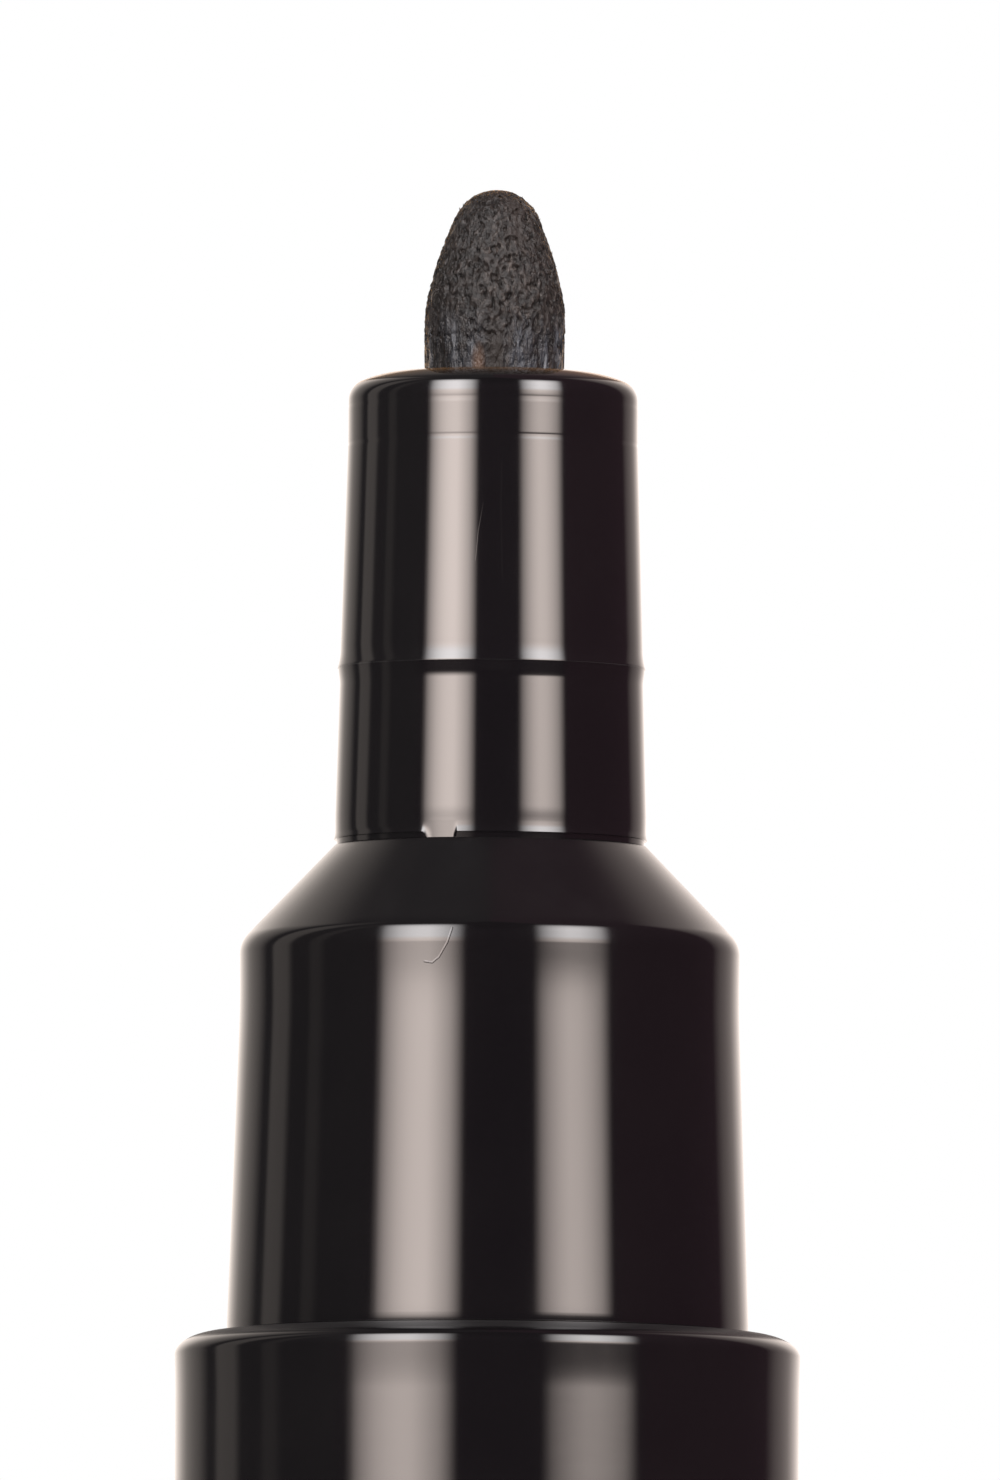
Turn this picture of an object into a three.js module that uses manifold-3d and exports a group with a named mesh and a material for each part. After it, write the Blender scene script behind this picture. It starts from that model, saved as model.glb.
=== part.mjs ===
// A paint marker with a bullet nib and a valve that opens when the nib is pressed.
// It stands nib up on its posted cap. Millimetres, +Z along the axis, and the origin
// at the centre of the cap's flat closed end.

import * as THREE from 'three';
import { mergeVertices } from 'three/addons/utils/BufferGeometryUtils.js';
import Module from 'manifold-3d';

const wasm = await Module();
wasm.setup();

// Facets round each kind of piece
const outerSegments = 48;
const neckSegments = 36;
const innerSegments = 24;

// Barrel: a tube with a socket at each end
const barrelDiameter = 15;
const barrelLength = 97;
const barrelWall = 1.35;
const barrelFrontEdge = 0.62;
const barrelRearEdge = 0.25;
const socketWall = 1.1;
const frontSocketDepth = 12.1;
const rearSocketDepth = 6.3;

// Front section: skirt, tapered grip, round shoulder and cone
const sectionHeight = 11.53;
const shoulderHeight = 9.19;
const shoulderInset = 0.28;
const shoulderRadius = 1.05;
const waistHeight = 6.2;
const waistInset = 0.22;
const coneLedge = 0.03;
const sectionWall = 1.25;
const skirtWall = 1.6;
const bossWall = 0.9;

// Sealing ring in the skirt
const sealThickness = 1;
const sealBelowFront = 5;

// Nozzle: lower neck and flange outside, valve body and spigot inside
const flangeLip = 0.07;
const flangeHeight = 0.8;
const flangeChamfer = 0.09;
const lowerNeckHeight = 4.42;
const lowerNeckDraft = 0.085;
const neckTopEdge = 0.08;
const valveBodyWall = 0.8;
const spigotWall = 0.75;
const spigotLength = 4.4;
const clipRingHeight = 2;
const clipRingWall = 0.48;
const clipBead = 0.07;

// Nib collar: the upper neck
const collarHeight = 6.92;
const collarWall = 0.805;
const collarDraft = 0.145;
const collarBaseInset = 0.015;
const collarFootFlare = 0.045;
const collarFootHeight = 0.38;
const collarRimRadius = 0.5;
const guideLength = 2.2;
const fluteCount = 6;
const fluteDiameter = 0.6;

// Nib: bullet nosed at both ends
const nibDiameter = 3.44;
const nibLength = 21;
const nibExposed = 4.63;
const nibNoseRadius = 1.16;
const nibNoseDegrees = 69;
const nibBulletLength = 3.1;

// Valve: stem, soft seat, spring and cage
const valveTravel = 1.6;
const travelMargin = 0.4;
const cupDepth = 3.7;
const cupWall = 0.48;
const cupFloor = 0.9;
const cupSlotCount = 3;
const cupSlotWidth = 0.7;
const stemShaftDiameter = 1.9;
const stemHeadThickness = 1;
const stemHeadOverlap = 0.15;
const stemPinDiameter = 1.5;
const seatThickness = 1;
const seatLipWidth = 0.45;
const seatLipHeight = 0.15;
const springLength = 5.9;
const springWire = 0.35;
const springCoils = 6;
const cageWall = 0.7;
const cageFloor = 1;
const cageSleeveWall = 0.62;
const cageShelf = 0.7;
const cageSlotWidth = 1.5;
const cageSlotMargin = 0.5;

// Mixing ball
const ballDiameter = 6;

// Tail plug: closes the barrel and carries the posted cap
const plugFlange = 1;
const plugFlangeEdge = 0.2;
const tailSpigotLength = 7;
const tailSpigotChamfer = 0.4;
const plugInsertLength = 6;
const plugWall = 1.2;
const plugRingHeight = 0.07;
const plugRingWidth = 0.6;

// Cap: outer shell, the end disc that it stands on, and the inner liner
const discThickness = 1.1;
const discProud = 0.3;
const discChamfer = 0.2;
const discRimWall = 1.05;
const capEndWall = 1.2;
const capEndRadius = 0.6;
const capOuterDraft = 0.15;
const capInnerDraft = 0.22;
const capMouthWall = 1.08;
const capMouthEdge = 0.25;
const capMouthChamfer = 0.2;
const capBossWall = 1;
const capBossHeight = 3.1;
const capRibCount = 6;
const capRibThickness = 0.8;
const capRibHeight = 8.1;
const linerWall = 0.48;
const linerFootWall = 0.75;
const linerMouthGap = 0.67;
const linerMouthChamfer = 0.2;
const linerSealWidth = 1;
const linerFloor = 1;
const linerFootSpace = 0.5;
const linerTipClearance = 1.5;

// Clearances
const sectionFit = 0.1;
const valveBodyFit = 0.1;
const spigotFit = 0.1;
const clipFit = 0.06;
const sealFit = 0.03;
const seatFit = 0.06;
const seatShaftFit = 0.35;
const nibGuideFit = 0.14;
const nibBoreFit = 0.28;
const nibCupFit = 0.08;
const cupRunFit = 0.22;
const headRunFit = 0.4;
const pinFit = 0.2;
const headGap = 0.05;
const springEndFit = 0.05;
const springPinFit = 0.375;
const ballGap = 0.05;
const bossGap = 0.35;
const postGap = 0.1;
const postFit = 0.22;
const discFit = 0.08;
const linerFit = 0.1;
const linerSealFit = 0.03;
const linerRunFit = 0.12;
const capRibFit = 0.06;

// Radii, from the nib outwards
const nibRadius = nibDiameter / 2;
const guideRadius = nibRadius + nibGuideFit;
const nozzleBore = nibRadius + nibBoreFit;
const spigotRadius = nozzleBore + spigotWall;
const neckRadius = spigotRadius + spigotFit + collarWall;
const footRadius = neckRadius + collarFootFlare;
const lowerNeckBase = neckRadius + lowerNeckDraft;
const flangeRadius = lowerNeckBase + flangeLip;
const cupBore = nibRadius + nibCupFit;
const cupRadius = cupBore + cupWall;
const chamberRadius = cupRadius + cupRunFit;
const clipRadius = chamberRadius + clipRingWall;
const sleeveBore = clipRadius + clipBead + clipFit;
const valveBodyRadius = chamberRadius + valveBodyWall;
const bossBore = valveBodyRadius + valveBodyFit;
const stemShaftRadius = stemShaftDiameter / 2;
const stemPinRadius = stemPinDiameter / 2;
const seatBore = stemShaftRadius + seatShaftFit;
const stemHeadRadius = seatBore + seatLipWidth + stemHeadOverlap;
const cageBore = stemHeadRadius + headRunFit;

// Radii, from the barrel inwards
const barrelRadius = barrelDiameter / 2;
const reservoirRadius = barrelRadius - barrelWall;
const socketRadius = barrelRadius - socketWall;
const skirtRadius = socketRadius - sectionFit;
const skirtBore = skirtRadius - skirtWall;
const waistRadius = skirtRadius - waistInset;
const shoulderOuter = skirtRadius - shoulderInset;
const capMouthBore = barrelRadius - capMouthWall;
const capInnerEnd = capMouthBore - capInnerDraft;
const capOuterEnd = barrelRadius - capOuterDraft;
const discSeatRadius = capOuterEnd - discRimWall;
const tailSpigotRadius = capMouthBore - postFit;

// Radii of the cap's liner, which runs over the neck
const linerRunBore = footRadius + linerRunFit;
const linerRadius = linerRunBore + linerWall;
const linerFootBore = linerRadius - linerFootWall;
const capBossRadius = linerFootBore - linerFit;

// The front end's reach, and the cap that is long enough to cover it
const frontReach = sectionHeight + lowerNeckHeight + collarHeight + nibExposed;
const capFloorZ = discThickness + capEndWall;
const linerFloorZ = capFloorZ + capBossHeight + linerFootSpace + linerFloor;
const capLength = linerFloorZ + linerTipClearance + frontReach;

// Heights along the axis, from the cap's closed end to the nib's tip
const plugFlangeZ = capLength + postGap;
const plugBottomZ = plugFlangeZ - tailSpigotLength;
const barrelRearZ = plugFlangeZ + plugFlange;
const barrelFrontZ = barrelRearZ + barrelLength;
const sectionTopZ = barrelFrontZ + sectionHeight;
const seamZ = sectionTopZ + lowerNeckHeight;
const rimZ = seamZ + collarHeight;
const nibTipZ = rimZ + nibExposed;
const nibRearZ = nibTipZ - nibLength;
const cupTopZ = nibRearZ + cupDepth;
const cupBottomZ = nibRearZ - nibCupFit - cupFloor;
const seatTopZ = cupBottomZ - valveTravel - travelMargin;
const seatBottomZ = seatTopZ - seatThickness;
const clipTopZ = seatTopZ + clipRingHeight;
const headTopZ = seatBottomZ - seatLipHeight - headGap;
const headBottomZ = headTopZ - stemHeadThickness;
const cageFloorZ = headBottomZ - springLength;
const cageBottomZ = cageFloorZ - cageFloor;

// Revolves an outline of [radius, height] about the Z axis. The outline starts at its
// lowest point and runs up the outside, so that the faces point out.
function revolve(outline, segments) {
  const points = outline.map(([radius, height]) => new THREE.Vector2(radius, height));
  return new THREE.LatheGeometry(points, segments).rotateX(Math.PI / 2);
}

// Points along a round edge, in degrees from straight out to straight up.
function roundEdge(centreRadius, centreZ, radius, fromDegrees, toDegrees, steps) {
  const arc = new THREE.EllipseCurve(
    centreRadius, centreZ, radius, radius,
    THREE.MathUtils.degToRad(fromDegrees), THREE.MathUtils.degToRad(toDegrees),
    toDegrees < fromDegrees,
  );
  return arc.getPoints(steps).map((point) => [point.x, point.y]);
}

// Turns a closed geometry into a solid for joining and cutting.
function toSolid(geometry) {
  const bare = new THREE.BufferGeometry();
  bare.setAttribute('position', geometry.getAttribute('position'));
  bare.setIndex(geometry.getIndex());
  const welded = mergeVertices(bare);
  const index = welded.getIndex().array;
  const triangles = [];
  for (let i = 0; i < index.length; i += 3) {
    const [a, b, c] = [index[i], index[i + 1], index[i + 2]];
    if (a !== b && b !== c && c !== a) triangles.push(a, b, c);
  }
  const mesh = new wasm.Mesh({
    numProp: 3,
    vertProperties: new Float32Array(welded.getAttribute('position').array),
    triVerts: new Uint32Array(triangles),
  });
  return new wasm.Manifold(mesh);
}

function toGeometry(solid) {
  const mesh = solid.getMesh();
  const geometry = new THREE.BufferGeometry();
  geometry.setAttribute('position', new THREE.BufferAttribute(mesh.vertProperties, mesh.numProp));
  geometry.setIndex(new THREE.BufferAttribute(mesh.triVerts, 1));
  geometry.computeVertexNormals();
  return geometry;
}

function cut(geometry, tools) {
  let solid = toSolid(geometry);
  for (const tool of tools) solid = solid.subtract(toSolid(tool));
  return toGeometry(solid);
}

function join(geometry, additions) {
  let solid = toSolid(geometry);
  for (const addition of additions) solid = solid.add(toSolid(addition));
  return toGeometry(solid);
}

// Copies of a geometry spaced evenly round the axis.
function ringOf(count, makeOne) {
  return Array.from({ length: count }, (unused, i) => makeOne().rotateZ((2 * Math.PI * i) / count));
}

// A block from one radius to another, across the XZ plane, between two heights.
function radialBlock(innerRadius, outerRadius, width, bottomZ, topZ) {
  const block = new THREE.BoxGeometry(outerRadius - innerRadius, width, topZ - bottomZ);
  return block.translate((innerRadius + outerRadius) / 2, 0, (bottomZ + topZ) / 2);
}

// Half outline of the nib's nose as [radius, depth below the tip], out to the shank.
// Growth makes the same form larger all round, for what the nose sits in.
function noseOutline(growth) {
  const shank = nibRadius + growth;
  const nose = nibNoseRadius + growth;
  const limit = THREE.MathUtils.degToRad(nibNoseDegrees);
  const ball = [];
  const ballSteps = 4;
  for (let i = 0; i <= ballSteps; i += 1) {
    const angle = (limit * i) / ballSteps;
    ball.push([nose * Math.sin(angle), nibNoseRadius - nose * Math.cos(angle)]);
  }
  const [startRadius, startDepth] = ball[ballSteps];
  const meetDepth = startDepth + (shank - startRadius) * Math.tan(limit);
  const flank = new THREE.QuadraticBezierCurve(
    new THREE.Vector2(startRadius, startDepth),
    new THREE.Vector2(shank, Math.min(meetDepth, nibBulletLength)),
    new THREE.Vector2(shank, nibBulletLength),
  );
  const flankPoints = flank.getPoints(4).slice(1);
  return [...ball, ...flankPoints.map((point) => [point.x, point.y])];
}

// Outer tube, with a socket for the section in front and for the tail plug behind.
function barrelShape() {
  const frontEdge = roundEdge(
    barrelRadius - barrelFrontEdge, barrelFrontZ - barrelFrontEdge, barrelFrontEdge, 0, 90, 4,
  );
  return revolve([
    [socketRadius, barrelRearZ],
    [barrelRadius - barrelRearEdge, barrelRearZ],
    [barrelRadius, barrelRearZ + barrelRearEdge],
    ...frontEdge,
    [socketRadius, barrelFrontZ],
    [socketRadius, barrelFrontZ - frontSocketDepth],
    [reservoirRadius, barrelFrontZ - frontSocketDepth],
    [reservoirRadius, barrelRearZ + rearSocketDepth],
    [socketRadius, barrelRearZ + rearSocketDepth],
    [socketRadius, barrelRearZ],
  ], outerSegments);
}

// Skirt, grip, shoulder and cone in one moulding, with a boss inside for the valve body.
function sectionShape() {
  const skirtBottomZ = barrelFrontZ - frontSocketDepth + sectionFit;
  const grooveRadius = socketRadius - 2 * sealFit - sealThickness;
  const grooveMiddleZ = barrelFrontZ - sealBelowFront;
  const grooveHalf = sealThickness / 2 + sealFit;
  const coneTop = flangeRadius + coneLedge;
  const cornerZ = barrelFrontZ + shoulderHeight;
  const coneAngle = Math.atan2(shoulderOuter - coneTop, sectionTopZ - cornerZ);
  const edgeInset = shoulderRadius * Math.tan(coneAngle / 2);
  const shoulderArc = roundEdge(
    shoulderOuter - shoulderRadius, cornerZ - edgeInset, shoulderRadius,
    0, THREE.MathUtils.radToDeg(coneAngle), 4,
  );
  const bossRadius = bossBore + bossWall;
  const ceilingDrop = sectionWall / Math.sin(coneAngle);
  const ceilingZ = (radius) => cornerZ + (shoulderOuter - radius) / Math.tan(coneAngle) - ceilingDrop;
  return revolve([
    [skirtBore, skirtBottomZ],
    [skirtRadius, skirtBottomZ],
    [skirtRadius, grooveMiddleZ - grooveHalf],
    [grooveRadius, grooveMiddleZ - grooveHalf],
    [grooveRadius, grooveMiddleZ + grooveHalf],
    [skirtRadius, grooveMiddleZ + grooveHalf],
    [skirtRadius, barrelFrontZ],
    [waistRadius, barrelFrontZ + waistHeight],
    ...shoulderArc,
    [coneTop, sectionTopZ],
    [bossBore, sectionTopZ],
    [bossBore, clipTopZ + bossGap],
    [bossRadius, clipTopZ + bossGap],
    [bossRadius, ceilingZ(bossRadius)],
    [skirtBore, ceilingZ(skirtBore)],
    [skirtBore, skirtBottomZ],
  ], outerSegments);
}

// Ring in the skirt's groove, pressed against the barrel.
function sealShape() {
  const ringRadius = socketRadius - sealFit - sealThickness / 2;
  const ring = new THREE.TorusGeometry(ringRadius, sealThickness / 2, 8, outerSegments);
  return ring.translate(0, 0, barrelFrontZ - sealBelowFront);
}

// Lower neck with its flange, the valve body below it and the spigot above it.
function nozzleShape() {
  const chamberTopZ = cupTopZ + travelMargin;
  const spigotTopZ = seamZ + spigotLength;
  return revolve([
    [chamberRadius, seatTopZ],
    [clipRadius, seatTopZ],
    [clipRadius + clipBead, seatTopZ + clipRingHeight / 4],
    [clipRadius, seatTopZ + clipRingHeight / 2],
    [clipRadius, clipTopZ],
    [valveBodyRadius, clipTopZ],
    [valveBodyRadius, sectionTopZ],
    [flangeRadius, sectionTopZ],
    [flangeRadius, sectionTopZ + flangeHeight - flangeChamfer],
    [flangeRadius - flangeChamfer, sectionTopZ + flangeHeight],
    [lowerNeckBase, sectionTopZ + flangeHeight],
    [neckRadius, seamZ - neckTopEdge],
    [neckRadius - neckTopEdge, seamZ],
    [spigotRadius, seamZ],
    [spigotRadius, spigotTopZ - spigotFit],
    [spigotRadius - spigotFit, spigotTopZ],
    [nozzleBore, spigotTopZ],
    [nozzleBore, chamberTopZ],
    [chamberRadius, chamberTopZ],
    [chamberRadius, seatTopZ],
  ], neckSegments);
}

// Upper neck: a sleeve over the spigot, with a round rim and a guide for the nib.
function collarShape() {
  const socket = spigotRadius + spigotFit;
  const base = neckRadius - collarBaseInset;
  const top = base - collarDraft;
  const rim = roundEdge(top - collarRimRadius, rimZ - collarRimRadius, collarRimRadius, 0, 90, 4);
  const guideZ = rimZ - guideLength;
  const mouthChamfer = nibGuideFit;
  const sleeve = revolve([
    [socket, seamZ],
    [footRadius - neckTopEdge, seamZ],
    [footRadius, seamZ + neckTopEdge],
    [base + (footRadius - base) / 4, seamZ + collarFootHeight / 2],
    [base, seamZ + collarFootHeight],
    ...rim,
    [guideRadius + mouthChamfer, rimZ],
    [guideRadius, rimZ - mouthChamfer],
    [guideRadius, guideZ],
    [socket, guideZ],
    [socket, seamZ],
  ], neckSegments);
  const flute = () => {
    const groove = new THREE.CylinderGeometry(fluteDiameter / 2, fluteDiameter / 2, 2 * guideLength, 8);
    return groove.rotateX(Math.PI / 2).translate(guideRadius, 0, guideZ + guideLength);
  };
  return cut(sleeve, ringOf(fluteCount, flute));
}

function nibShape() {
  const nose = noseOutline(0);
  const rear = nose.map(([radius, depth]) => [radius, nibRearZ + depth]);
  const front = nose.map(([radius, depth]) => [radius, nibTipZ - depth]).reverse();
  return revolve([...rear, ...front], innerSegments);
}

// Poppet: pin in the spring, head under the seat, and a slotted cup for the nib's rear end.
function stemShape() {
  const pinEndZ = cageBottomZ + pinFit;
  const seatForNose = noseOutline(nibCupFit).map(([radius, depth]) => [radius, nibRearZ + depth]);
  const stem = revolve([
    [0, pinEndZ],
    [stemPinRadius - pinFit, pinEndZ],
    [stemPinRadius, pinEndZ + pinFit],
    [stemPinRadius, headBottomZ],
    [stemHeadRadius, headBottomZ],
    [stemHeadRadius, headTopZ],
    [stemShaftRadius, headTopZ],
    [stemShaftRadius, cupBottomZ],
    [cupRadius, cupBottomZ],
    [cupRadius, cupTopZ],
    [cupBore, cupTopZ],
    ...seatForNose.reverse(),
  ], innerSegments);
  const slotBottomZ = nibRearZ + cupFloor;
  const slot = () => radialBlock(cupBore / 2, cupRadius + 1, cupSlotWidth, slotBottomZ, cupTopZ + 1);
  return cut(stem, ringOf(cupSlotCount, slot));
}

// Soft ring clamped between the valve body and the cage, with a lip for the stem's head.
function seatShape() {
  const outer = sleeveBore - seatFit;
  const lip = seatBore + seatLipWidth;
  return revolve([
    [seatBore, seatBottomZ - seatLipHeight],
    [lip, seatBottomZ - seatLipHeight],
    [lip + seatLipHeight, seatBottomZ],
    [outer, seatBottomZ],
    [outer, seatTopZ],
    [seatBore, seatTopZ],
    [seatBore, seatBottomZ - seatLipHeight],
  ], innerSegments);
}

// Cage clipped over the valve body's lower end, slotted so that paint reaches the seat.
function cageShape() {
  const pinHole = stemPinRadius + pinFit;
  const outer = cageBore + cageWall;
  const sleeve = sleeveBore + cageSleeveWall;
  const shelfZ = seatBottomZ;
  const cage = revolve([
    [pinHole, cageBottomZ],
    [outer - cageFloor / 2, cageBottomZ],
    [outer, cageBottomZ + cageFloor / 2],
    [outer, shelfZ - cageShelf - (sleeve - outer)],
    [sleeve, shelfZ - cageShelf],
    [sleeve, clipTopZ - clipFit],
    [sleeveBore, clipTopZ - clipFit],
    [sleeveBore, shelfZ],
    [cageBore, shelfZ],
    [cageBore, cageFloorZ],
    [pinHole, cageFloorZ],
    [pinHole, cageBottomZ],
  ], innerSegments);
  const slotBottomZ = cageFloorZ + cageSlotMargin;
  const slotTopZ = shelfZ - cageShelf - (sleeve - outer) - cageSlotMargin;
  const slot = () => radialBlock(-outer - 1, outer + 1, cageSlotWidth, slotBottomZ, slotTopZ);
  return cut(cage, [slot(), slot().rotateZ(Math.PI / 2)]);
}

// Coil spring as one tube: a five-sided section carried along a helix, eight steps a coil.
function springShape() {
  const sides = 5;
  const steps = 8 * springCoils;
  const wire = springWire / 2;
  const coil = stemPinRadius + springPinFit + wire;
  const bottomZ = cageFloorZ + springEndFit + wire;
  const rise = springLength - 2 * (springEndFit + wire);
  const positions = [];
  for (let step = 0; step <= steps; step += 1) {
    const turn = (2 * Math.PI * springCoils * step) / steps;
    for (let side = 0; side < sides; side += 1) {
      const angle = (2 * Math.PI * side) / sides;
      const radius = coil + wire * Math.cos(angle);
      const height = bottomZ + (rise * step) / steps + wire * Math.sin(angle);
      positions.push(radius * Math.cos(turn), radius * Math.sin(turn), height);
    }
  }
  const index = [];
  for (let step = 0; step < steps; step += 1) {
    for (let side = 0; side < sides; side += 1) {
      const a = step * sides + side;
      const b = step * sides + ((side + 1) % sides);
      index.push(a, a + sides, b, b, a + sides, b + sides);
    }
  }
  const last = steps * sides;
  for (let side = 1; side < sides - 1; side += 1) {
    index.push(0, side, side + 1);
    index.push(last, last + side + 1, last + side);
  }
  const geometry = new THREE.BufferGeometry();
  geometry.setAttribute('position', new THREE.Float32BufferAttribute(positions, 3));
  geometry.setIndex(index);
  geometry.computeVertexNormals();
  return geometry;
}

// Cup-shaped plug: spigot for the cap outside, flange, and a ribbed insert in the barrel.
function plugShape() {
  const insert = socketRadius - sectionFit;
  const insertTopZ = barrelRearZ + plugInsertLength;
  const rings = [1, 2].flatMap((ring) => {
    const middleZ = barrelRearZ + (plugInsertLength * ring) / 3;
    return [
      [insert, middleZ - plugRingWidth / 2],
      [insert + plugRingHeight, middleZ],
      [insert, middleZ + plugRingWidth / 2],
    ];
  });
  const bore = tailSpigotRadius - plugWall;
  return revolve([
    [0, plugBottomZ],
    [tailSpigotRadius - tailSpigotChamfer, plugBottomZ],
    [tailSpigotRadius, plugBottomZ + tailSpigotChamfer],
    [tailSpigotRadius, plugFlangeZ],
    [barrelRadius - plugFlangeEdge, plugFlangeZ],
    [barrelRadius, plugFlangeZ + plugFlangeEdge],
    [barrelRadius, barrelRearZ - plugFlangeEdge],
    [barrelRadius - plugFlangeEdge, barrelRearZ],
    [insert, barrelRearZ],
    ...rings,
    [insert, insertTopZ],
    [bore, insertTopZ],
    [bore, plugBottomZ + plugWall],
    [0, plugBottomZ + plugWall],
  ], outerSegments);
}

// Ball at the bottom of the paint, on the tail plug's floor.
function ballShape() {
  const ball = new THREE.SphereGeometry(ballDiameter / 2, 16, 12).rotateX(Math.PI / 2);
  return ball.translate(0, 0, plugBottomZ + plugWall + ballGap + ballDiameter / 2);
}

// Outer cap, closed end down, with a boss and ribs inside for the liner and a seat
// outside for the disc.
function capShellShape() {
  const bossTopZ = capFloorZ + capBossHeight;
  const shell = revolve([
    [discSeatRadius, discProud],
    ...roundEdge(capOuterEnd - capEndRadius, discProud + capEndRadius, capEndRadius, -90, 0, 4),
    [barrelRadius, capLength - capMouthEdge],
    [barrelRadius - capMouthEdge, capLength],
    [capMouthBore + capMouthChamfer, capLength],
    [capMouthBore, capLength - capMouthChamfer],
    [capInnerEnd, capFloorZ],
    [capBossRadius, capFloorZ],
    [capBossRadius, bossTopZ],
    [capBossRadius - capBossWall, bossTopZ],
    [capBossRadius - capBossWall, capFloorZ],
    [0, capFloorZ],
    [0, discThickness],
    [discSeatRadius, discThickness],
    [discSeatRadius, discProud],
  ], outerSegments);
  const ribInner = linerRadius + capRibFit;
  const ribOuter = capInnerEnd + capMouthWall / 2;
  const ribBottomZ = capFloorZ - capEndWall / 2;
  const ribTopZ = capFloorZ + capRibHeight;
  const rib = () => radialBlock(ribInner, ribOuter, capRibThickness, ribBottomZ, ribTopZ);
  return join(shell, ringOf(capRibCount, rib));
}

// Disc pressed into the cap's end. It stands a little proud, so the marker rests on it.
function discShape() {
  const outer = discSeatRadius - discFit;
  return revolve([
    [0, 0],
    [outer - discChamfer, 0],
    [outer, discChamfer],
    [outer, discThickness],
    [0, discThickness],
  ], outerSegments);
}

// Inner cap: its foot presses over the shell's boss and its mouth seals on the neck's seam.
function linerShape() {
  const sealBore = footRadius + linerSealFit;
  const mouthZ = capLength - sectionHeight - flangeHeight - linerMouthGap;
  const sealZ = capLength - sectionHeight - lowerNeckHeight;
  return revolve([
    [linerFootBore, capFloorZ],
    [linerRadius, capFloorZ],
    [linerRadius, mouthZ - linerMouthChamfer],
    [linerRadius - linerMouthChamfer, mouthZ],
    [linerRunBore + linerMouthChamfer, mouthZ],
    [linerRunBore, mouthZ - linerMouthChamfer],
    [linerRunBore, sealZ + linerSealWidth],
    [sealBore, sealZ + linerSealWidth / 2],
    [sealBore, sealZ - linerSealWidth / 2],
    [linerRunBore, sealZ - linerSealWidth],
    [linerRunBore, linerFloorZ],
    [0, linerFloorZ],
    [0, linerFloorZ - linerFloor],
    [linerFootBore, linerFloorZ - linerFloor],
    [linerFootBore, capFloorZ],
  ], neckSegments);
}

const blackPlastic = { color: 0x1a171a, roughness: 0.12, metalness: 0 };
const satinPlastic = { color: 0x201d1f, roughness: 0.3, metalness: 0 };
const naturalPlastic = { color: 0xe8e6df, roughness: 0.45, metalness: 0 };
const sealRubber = { color: 0x2b2b2c, roughness: 0.8, metalness: 0 };
const nibFibre = { color: 0x2a2a2c, roughness: 0.85, metalness: 0 };
const steel = { color: 0xc4c6c8, roughness: 0.25, metalness: 1 };

const marker = new THREE.Group();

function addPiece(name, geometry, finish) {
  const mesh = new THREE.Mesh(geometry, new THREE.MeshStandardMaterial(finish));
  mesh.name = name;
  marker.add(mesh);
}

addPiece('barrel', barrelShape(), blackPlastic);
addPiece('front_section', sectionShape(), satinPlastic);
addPiece('section_seal', sealShape(), sealRubber);
addPiece('nozzle', nozzleShape(), blackPlastic);
addPiece('nib_collar', collarShape(), blackPlastic);
addPiece('nib', nibShape(), nibFibre);
addPiece('valve_stem', stemShape(), naturalPlastic);
addPiece('valve_seat', seatShape(), sealRubber);
addPiece('valve_spring', springShape(), steel);
addPiece('spring_cage', cageShape(), naturalPlastic);
addPiece('mixing_ball', ballShape(), steel);
addPiece('tail_plug', plugShape(), blackPlastic);
addPiece('cap_shell', capShellShape(), blackPlastic);
addPiece('cap_disc', discShape(), blackPlastic);
addPiece('cap_liner', linerShape(), naturalPlastic);

export default marker;
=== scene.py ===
import math
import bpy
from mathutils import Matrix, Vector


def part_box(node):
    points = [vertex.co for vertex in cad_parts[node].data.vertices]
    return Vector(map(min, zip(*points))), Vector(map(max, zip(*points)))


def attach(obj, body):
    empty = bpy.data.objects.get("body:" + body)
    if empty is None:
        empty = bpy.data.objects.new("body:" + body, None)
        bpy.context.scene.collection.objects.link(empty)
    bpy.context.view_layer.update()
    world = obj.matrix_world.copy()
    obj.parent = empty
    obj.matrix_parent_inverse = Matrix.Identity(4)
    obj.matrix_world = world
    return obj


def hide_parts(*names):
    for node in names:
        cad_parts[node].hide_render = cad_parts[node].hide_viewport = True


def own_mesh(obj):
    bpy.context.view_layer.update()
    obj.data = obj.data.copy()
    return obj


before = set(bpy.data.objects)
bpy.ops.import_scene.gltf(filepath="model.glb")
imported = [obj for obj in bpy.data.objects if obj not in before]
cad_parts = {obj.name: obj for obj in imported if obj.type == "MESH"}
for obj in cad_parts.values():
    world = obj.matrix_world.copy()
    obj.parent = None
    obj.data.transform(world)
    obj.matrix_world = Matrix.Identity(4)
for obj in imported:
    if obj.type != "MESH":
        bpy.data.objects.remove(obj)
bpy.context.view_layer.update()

from types import SimpleNamespace
import bpy
from mathutils import Matrix, Vector, noise

mm = 0.001
marker = bpy.data.collections.new("marker")
bpy.context.scene.collection.children.link(marker)


def seats():
    # where one piece meets the next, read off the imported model, in mm
    low = {name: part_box(name)[0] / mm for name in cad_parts}
    high = {name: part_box(name)[1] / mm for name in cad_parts}
    return low, high


low, high = seats()
capTop = high["cap_shell"].z
barrelRear = low["barrel"].z
barrelFront = high["barrel"].z
sectionTop = high["front_section"].z
seam = low["nib_collar"].z
rim = high["nib_collar"].z
nibTip = high["nib"].z
nibRear = low["nib"].z


def sizesOf(values):
    # a dictionary's values, read as names
    return SimpleNamespace(**values)


def clamp(value):
    return min(1.0, max(0.0, value))


# Small tools for node trees

def plug(tree, value, socket):
    if isinstance(value, bpy.types.NodeSocket):
        tree.links.new(value, socket)
    else:
        socket.default_value = value


def addNode(tree, kind, inputs=None, **settings):
    node = tree.nodes.new(kind)
    for name, value in settings.items():
        setattr(node, name, value)
    for name, value in (inputs or {}).items():
        plug(tree, value, node.inputs[name])
    return node


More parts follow.
